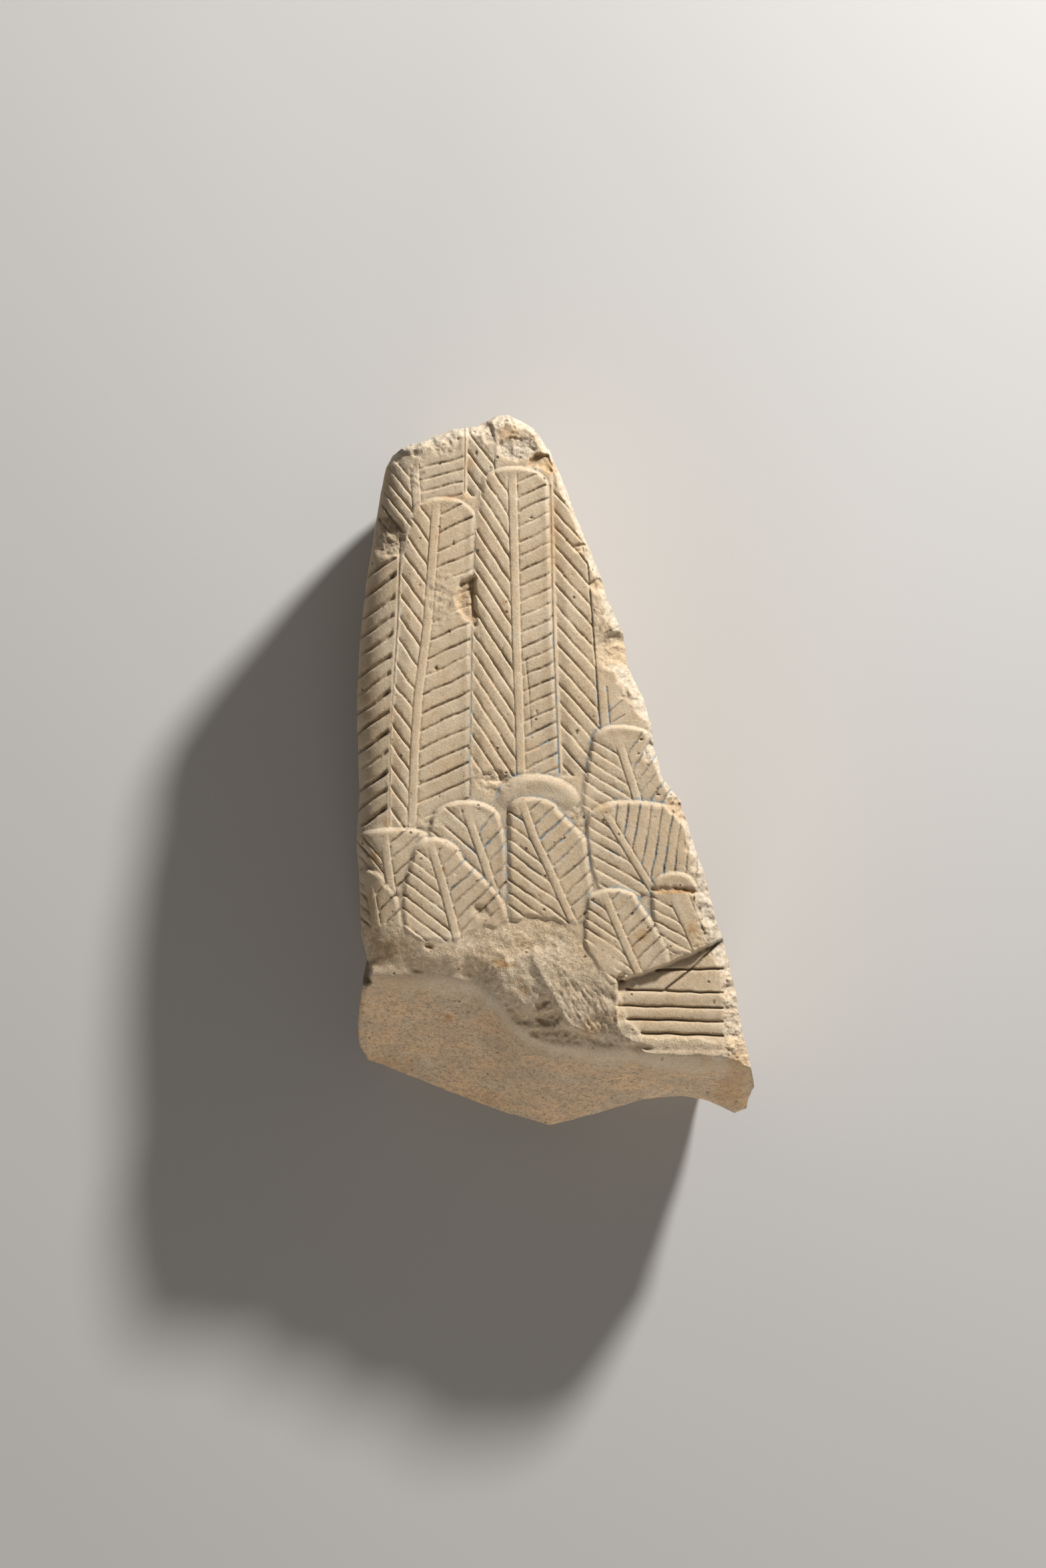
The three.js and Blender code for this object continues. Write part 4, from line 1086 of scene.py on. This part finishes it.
def tidy_normals(mesh):
    """Turns every face outwards."""
    work = bmesh.new()
    work.from_mesh(mesh)
    bmesh.ops.recalc_face_normals(work, faces=work.faces)
    work.to_mesh(mesh)
    work.free()


def thin_out(stone):
    """Fewer triangles where the stone is plain, with its place and shape as they were."""
    stone.data.calc_loop_triangles()
    have = len(stone.data.loop_triangles)
    if have <= MOST_TRIANGLES:
        return
    modifier = stone.modifiers.new("fewer", "DECIMATE")
    modifier.ratio = MOST_TRIANGLES / have
    graph = bpy.context.evaluated_depsgraph_get()
    thinned = bpy.data.meshes.new_from_object(stone.evaluated_get(graph))
    stone.modifiers.clear()
    stone.data = thinned


def keep_in_box(mesh):
    """Holds every point inside the box of the solid."""
    places = np.empty(len(mesh.vertices) * 3)
    mesh.vertices.foreach_get("co", places)
    places = np.clip(places.reshape(-1, 3), np.array(LOW) * MM, np.array(HIGH) * MM)
    mesh.vertices.foreach_set("co", places.ravel())
    mesh.update()


def store_masks(mesh, sheet):
    """Stores each mask on the mesh's points, from the sheet at the front, plain on sides and back."""
    count = len(mesh.vertices)
    places = np.empty(count * 3)
    mesh.vertices.foreach_get("co", places)
    places = places.reshape(-1, 3) / MM
    across = places[:, 0] / UNIT + MIDDLE_ACROSS
    down = MIDDLE_DOWN - places[:, 1] / UNIT
    behind = sheet.sample(sheet.height, across, down) - places[:, 2]
    side = ramp(behind, 0.8, 2.5)
    left = 1 - ramp(across - chain_at(LEFT_CHAIN, down, 1, 0), 10, 60)
    for name, values in sheet.masks.items():
        plain = SIDE_MASKS[name] * (1 - left) if name == "fresh" else SIDE_MASKS[name]
        value = sheet.sample(values, across, down) * (1 - side) + plain * side
        attribute = mesh.attributes.new(name, "FLOAT", "POINT")
        attribute.data.foreach_set("value", value)


def make_stone(sheet):
    """The stone, its masks and its material."""
    stone = link("stone_look", stone_mesh(sheet))
    tidy_normals(stone.data)
    thin_out(stone)
    keep_in_box(stone.data)
    store_masks(stone.data, sheet)
    stone.data.polygons.foreach_set("use_smooth", [True] * len(stone.data.polygons))
    stone.data.materials.append(limestone())
    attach(stone, "root")
    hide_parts(NODE)
    return stone


def node(tree, kind, **values):
    """A shader node with its settings and the values of its inputs, laid out after the others."""
    column, row = divmod(len(tree.nodes), NODE_ROWS)
    made = tree.nodes.new(kind)
    made.location = (column * NODE_PITCH, -row * NODE_PITCH)
    for name, value in values.items():
        if name in made.inputs:
            made.inputs[name].default_value = value
        else:
            setattr(made, name, value)
    return made


def connect(tree, socket, value):
    """Joins an input to another node's output, or gives it a plain value."""
    if isinstance(value, bpy.types.NodeSocket):
        tree.links.new(value, socket)
    else:
        socket.default_value = value


def noise_at(tree, where, noise):
    """A noise in space, from its scale, detail and roughness."""
    scale, detail, rough = noise
    made = node(tree, "ShaderNodeTexNoise", Scale=scale, Detail=detail, Roughness=rough)
    tree.links.new(where, made.inputs["Vector"])
    return made.outputs["Fac"]


def spread_out(tree, value, low, high, out_low=0.0, out_high=1.0):
    """Stretches the part of a value between low and high to other limits."""
    made = node(tree, "ShaderNodeMapRange")
    for name, number in (("From Min", low), ("From Max", high), ("To Min", out_low), ("To Max", out_high)):
        made.inputs[name].default_value = number
    tree.links.new(value, made.inputs["Value"])
    return made.outputs["Result"]


def patches(tree, where, noise, limits, results=(0.0, 1.0)):
    """A share in patches: the part of a noise between two limits, stretched to two results."""
    return spread_out(tree, noise_at(tree, where, noise), *limits, *results)


def blend_colour(tree, share, first, second, mode="MIX"):
    """Two colours mixed, or multiplied, by a share of the second."""
    made = node(tree, "ShaderNodeMix", data_type="RGBA", blend_type=mode)
    for name, value in (("Factor", share), ("A", first), ("B", second)):
        connect(tree, made.inputs[name], value)
    return made.outputs["Result"]


def sum_of(tree, first, second, operation="ADD"):
    """Two values added, or joined by another operation."""
    made = node(tree, "ShaderNodeMath", operation=operation)
    for socket, value in zip(made.inputs, (first, second)):
        connect(tree, socket, value)
    return made.outputs[0]


def product(tree, first, second):
    """Two values multiplied."""
    return sum_of(tree, first, second, "MULTIPLY")


def face_colour(tree, where, masks, medium):
    """Cream to honey, whiter where it is broken or worn, and whiter still as a painted highlight on barb
    edges and the raised lower break.
    """
    broad = patches(tree, where, BROAD, (0.35, 0.65))
    colour = blend_colour(tree, broad, CREAM, PALE_CREAM)
    colour = blend_colour(tree, product(tree, medium, 0.4), colour, HONEY)
    pale_and_highlight_share = product(tree, masks["fresh"], 0.75)
    return blend_colour(tree, pale_and_highlight_share, colour, FRESH_WHITE)


def rear_colour(tree, where):
    """Tan with grey and pale patches, dark slanting streaks and grey specks."""
    turned = node(tree, "ShaderNodeMapping")
    turned.inputs["Rotation"].default_value = (0, 0, math.radians(STREAK_TURN))
    turned.inputs["Scale"].default_value = STREAK_STRETCH
    tree.links.new(where, turned.inputs["Vector"])
    dark = patches(tree, turned.outputs["Vector"], REAR_STREAKS, (0.48, 0.6), (0, 0.75))
    light = patches(tree, where, REAR_LIGHT, (0.5, 0.62), (0, 0.8))
    grey = patches(tree, where, REAR_PATCHES, (0.42, 0.58))
    specks = patches(tree, where, REAR_SPECKS, (0.56, 0.63), (0, 0.75))
    colour = blend_colour(tree, grey, TAN, GREY_TAN)
    colour = blend_colour(tree, light, colour, PALE_CREAM)
    colour = blend_colour(tree, dark, colour, DARK_TAN)
    return blend_colour(tree, specks, colour, GREY_SPECK)


def stain_colour(tree, where, colour, masks, medium, grains):
    """Rust and ochre, then dirt and painted shade, white dust and traces of blue paint in the grooves."""
    rust_colour = blend_colour(tree, medium, OCHRE, RUST)
    rust_share = product(tree, masks["stain"], 0.7)
    colour = blend_colour(tree, rust_share, colour, rust_colour)
    grainy = spread_out(tree, grains, 0.38, 0.58, 0.45, 1.0)
    dirt_and_shade_share = product(tree, product(tree, masks["dirt_and_shade"], 0.85), grainy)
    colour = blend_colour(tree, dirt_and_shade_share, colour, DIRT_AND_SHADE_BROWN)
    dusty = spread_out(tree, grains, 0.60, 0.66, 0, 0.35)
    dust_share = product(tree, masks["dirt_and_shade"], dusty)
    colour = blend_colour(tree, dust_share, colour, WHITE_DUST)
    granules = patches(tree, where, PAINT_GRAINS, (0.44, 0.56), (0.15, 1.0))
    blue_share = product(tree, masks["blue"], granules)
    return blend_colour(tree, blue_share, colour, BLUE)


def tiny_pores(tree, where):
    """A share that is full in tiny round pores."""
    cells = node(tree, "ShaderNodeTexVoronoi", Scale=PORE_CELLS, feature="F1")
    tree.links.new(where, cells.inputs["Vector"])
    chance = node(tree, "ShaderNodeSeparateColor")
    tree.links.new(cells.outputs["Color"], chance.inputs[0])
    some = spread_out(tree, chance.outputs[0], 0.86, 0.9)
    round_pore = spread_out(tree, cells.outputs["Distance"], 0.2, 0.1)
    return product(tree, some, round_pore)


def speckled(tree, colour, masks, fine, grains, crumbs):
    """The colour a little lighter and darker from grain to grain, more so where the stone is rough."""
    speck = spread_out(tree, fine, 0.3, 0.7, 0.86, 1.13)
    sand_speck = spread_out(tree, grains, 0.3, 0.7, 0.86, 1.12)
    uneven = sum_of(tree, product(tree, masks["rough"], crumbs), 1.0)
    shade = product(tree, speck, sand_speck)
    shade = product(tree, shade, uneven)
    shade_colour = node(tree, "ShaderNodeCombineColor")
    for socket in shade_colour.inputs[:3]:
        tree.links.new(shade, socket)
    return blend_colour(tree, 1.0, colour, shade_colour.outputs[0], "MULTIPLY")


def finest_relief(tree, masks, fine, grains, crumbs, pores):
    """Grain, crumbs where the stone is rough, and tiny pores, as a direction of the surface."""
    relief = sum_of(tree, product(tree, fine, 0.45), product(tree, grains, 0.3))
    lumps = product(tree, product(tree, crumbs, 1.2), masks["rough"])
    relief = sum_of(tree, relief, lumps)
    relief = sum_of(tree, relief, pores, "SUBTRACT")
    bump = node(tree, "ShaderNodeBump", Strength=RELIEF_STRENGTH, Distance=RELIEF_HEIGHT)
    tree.links.new(relief, bump.inputs["Height"])
    return bump.outputs["Normal"]


def limestone():
    """Fine cream limestone: mottled, fresh and white where broken, with painted highlights on some edges, tan
    at the back, dirt and painted shade in the grooves.
    """
    material = bpy.data.materials.new("limestone")
    material.use_nodes = True
    tree = material.node_tree
    tree.nodes.clear()
    where = node(tree, "ShaderNodeTexCoord").outputs["Object"]
    masks = {}
    for name in MASKS:
        masks[name] = node(tree, "ShaderNodeAttribute", attribute_name=name).outputs["Fac"]
    medium = patches(tree, where, MEDIUM, (0.35, 0.68))
    crumbs = patches(tree, where, CRUMBS, (0.34, 0.66), (-0.2, 0.2))
    fine = noise_at(tree, where, FINE)
    grains = noise_at(tree, where, GRAINS)
    pores = tiny_pores(tree, where)

    rear_share = product(tree, masks["rear"], 0.9)
    colour = face_colour(tree, where, masks, medium)
    colour = blend_colour(tree, rear_share, colour, rear_colour(tree, where))
    colour = stain_colour(tree, where, colour, masks, medium, grains)
    colour = blend_colour(tree, product(tree, pores, 0.75), colour, PORE_BROWN)
    colour = speckled(tree, colour, masks, fine, grains, crumbs)

    shader = node(tree, "ShaderNodeBsdfPrincipled", Roughness=STONE_ROUGHNESS)
    shader.inputs["Specular IOR Level"].default_value = STONE_SHINE
    tree.links.new(colour, shader.inputs["Base Color"])
    tree.links.new(finest_relief(tree, masks, fine, grains, crumbs, pores), shader.inputs["Normal"])
    output = node(tree, "ShaderNodeOutputMaterial")
    tree.links.new(shader.outputs["BSDF"], output.inputs["Surface"])
    return material


def make_floor():
    """A wide plain floor under the stone."""
    half = FLOOR_SIZE / 2
    mesh = bpy.data.meshes.new("floor")
    corners = [(-half, -half, 0), (half, -half, 0), (half, half, 0), (-half, half, 0)]
    mesh.from_pydata(corners, [], [(0, 1, 2, 3)])
    material = bpy.data.materials.new("floor")
    material.use_nodes = True
    shader = material.node_tree.nodes["Principled BSDF"]
    shader.inputs["Base Color"].default_value = FLOOR_COLOUR
    shader.inputs["Roughness"].default_value = FLOOR_ROUGHNESS
    mesh.materials.append(material)
    floor = link("floor", mesh)


def make_camera():
    """A long lens straight above, so that the stone has the photograph's size and place."""
    data = bpy.data.cameras.new("camera")
    data.lens = LENS
    data.sensor_width = SENSOR
    data.clip_start = 0.01
    distance = LENS / SENSOR * PHOTO_HEIGHT * UNIT
    camera = link("camera", data)
    x = (PHOTO_WIDTH / 2 - MIDDLE_ACROSS) * UNIT
    y = (MIDDLE_DOWN - PHOTO_HEIGHT / 2) * UNIT
    camera.location = Vector((x, y, THICKNESS + distance)) * MM
    bpy.context.scene.camera = camera


def make_light(name, turn, tilt, distance, size, power, colour):
    """A soft lamp that shines on the stone, from a turn about the vertical and a tilt above level."""
    data = bpy.data.lights.new(name, "AREA")
    data.shape = "DISK"
    data.size = size
    data.energy = power
    data.color = colour
    lamp = link(name, data)
    turn, tilt = math.radians(turn), math.radians(tilt)
    lamp.location = (math.cos(turn) * math.cos(tilt) * distance, math.sin(turn) * math.cos(tilt) * distance,
                     math.sin(tilt) * distance)
    aim = Vector((0, 0, THICKNESS * MM)) - lamp.location
    lamp.rotation_euler = aim.to_track_quat("-Z", "Y").to_euler()


def make_lights():
    """The lamps, and the dim even light of the room."""
    for name, values in LAMPS.items():
        make_light(name, *values)
    world = bpy.data.worlds.new("studio")
    world.use_nodes = True
    background = world.node_tree.nodes["Background"]
    background.inputs["Color"].default_value = ROOM_COLOUR
    background.inputs["Strength"].default_value = ROOM_STRENGTH
    bpy.context.scene.world = world
    bpy.context.scene.view_settings.view_transform = "Standard"


make_camera()
make_lights()
make_floor()
make_stone(make_sheet())
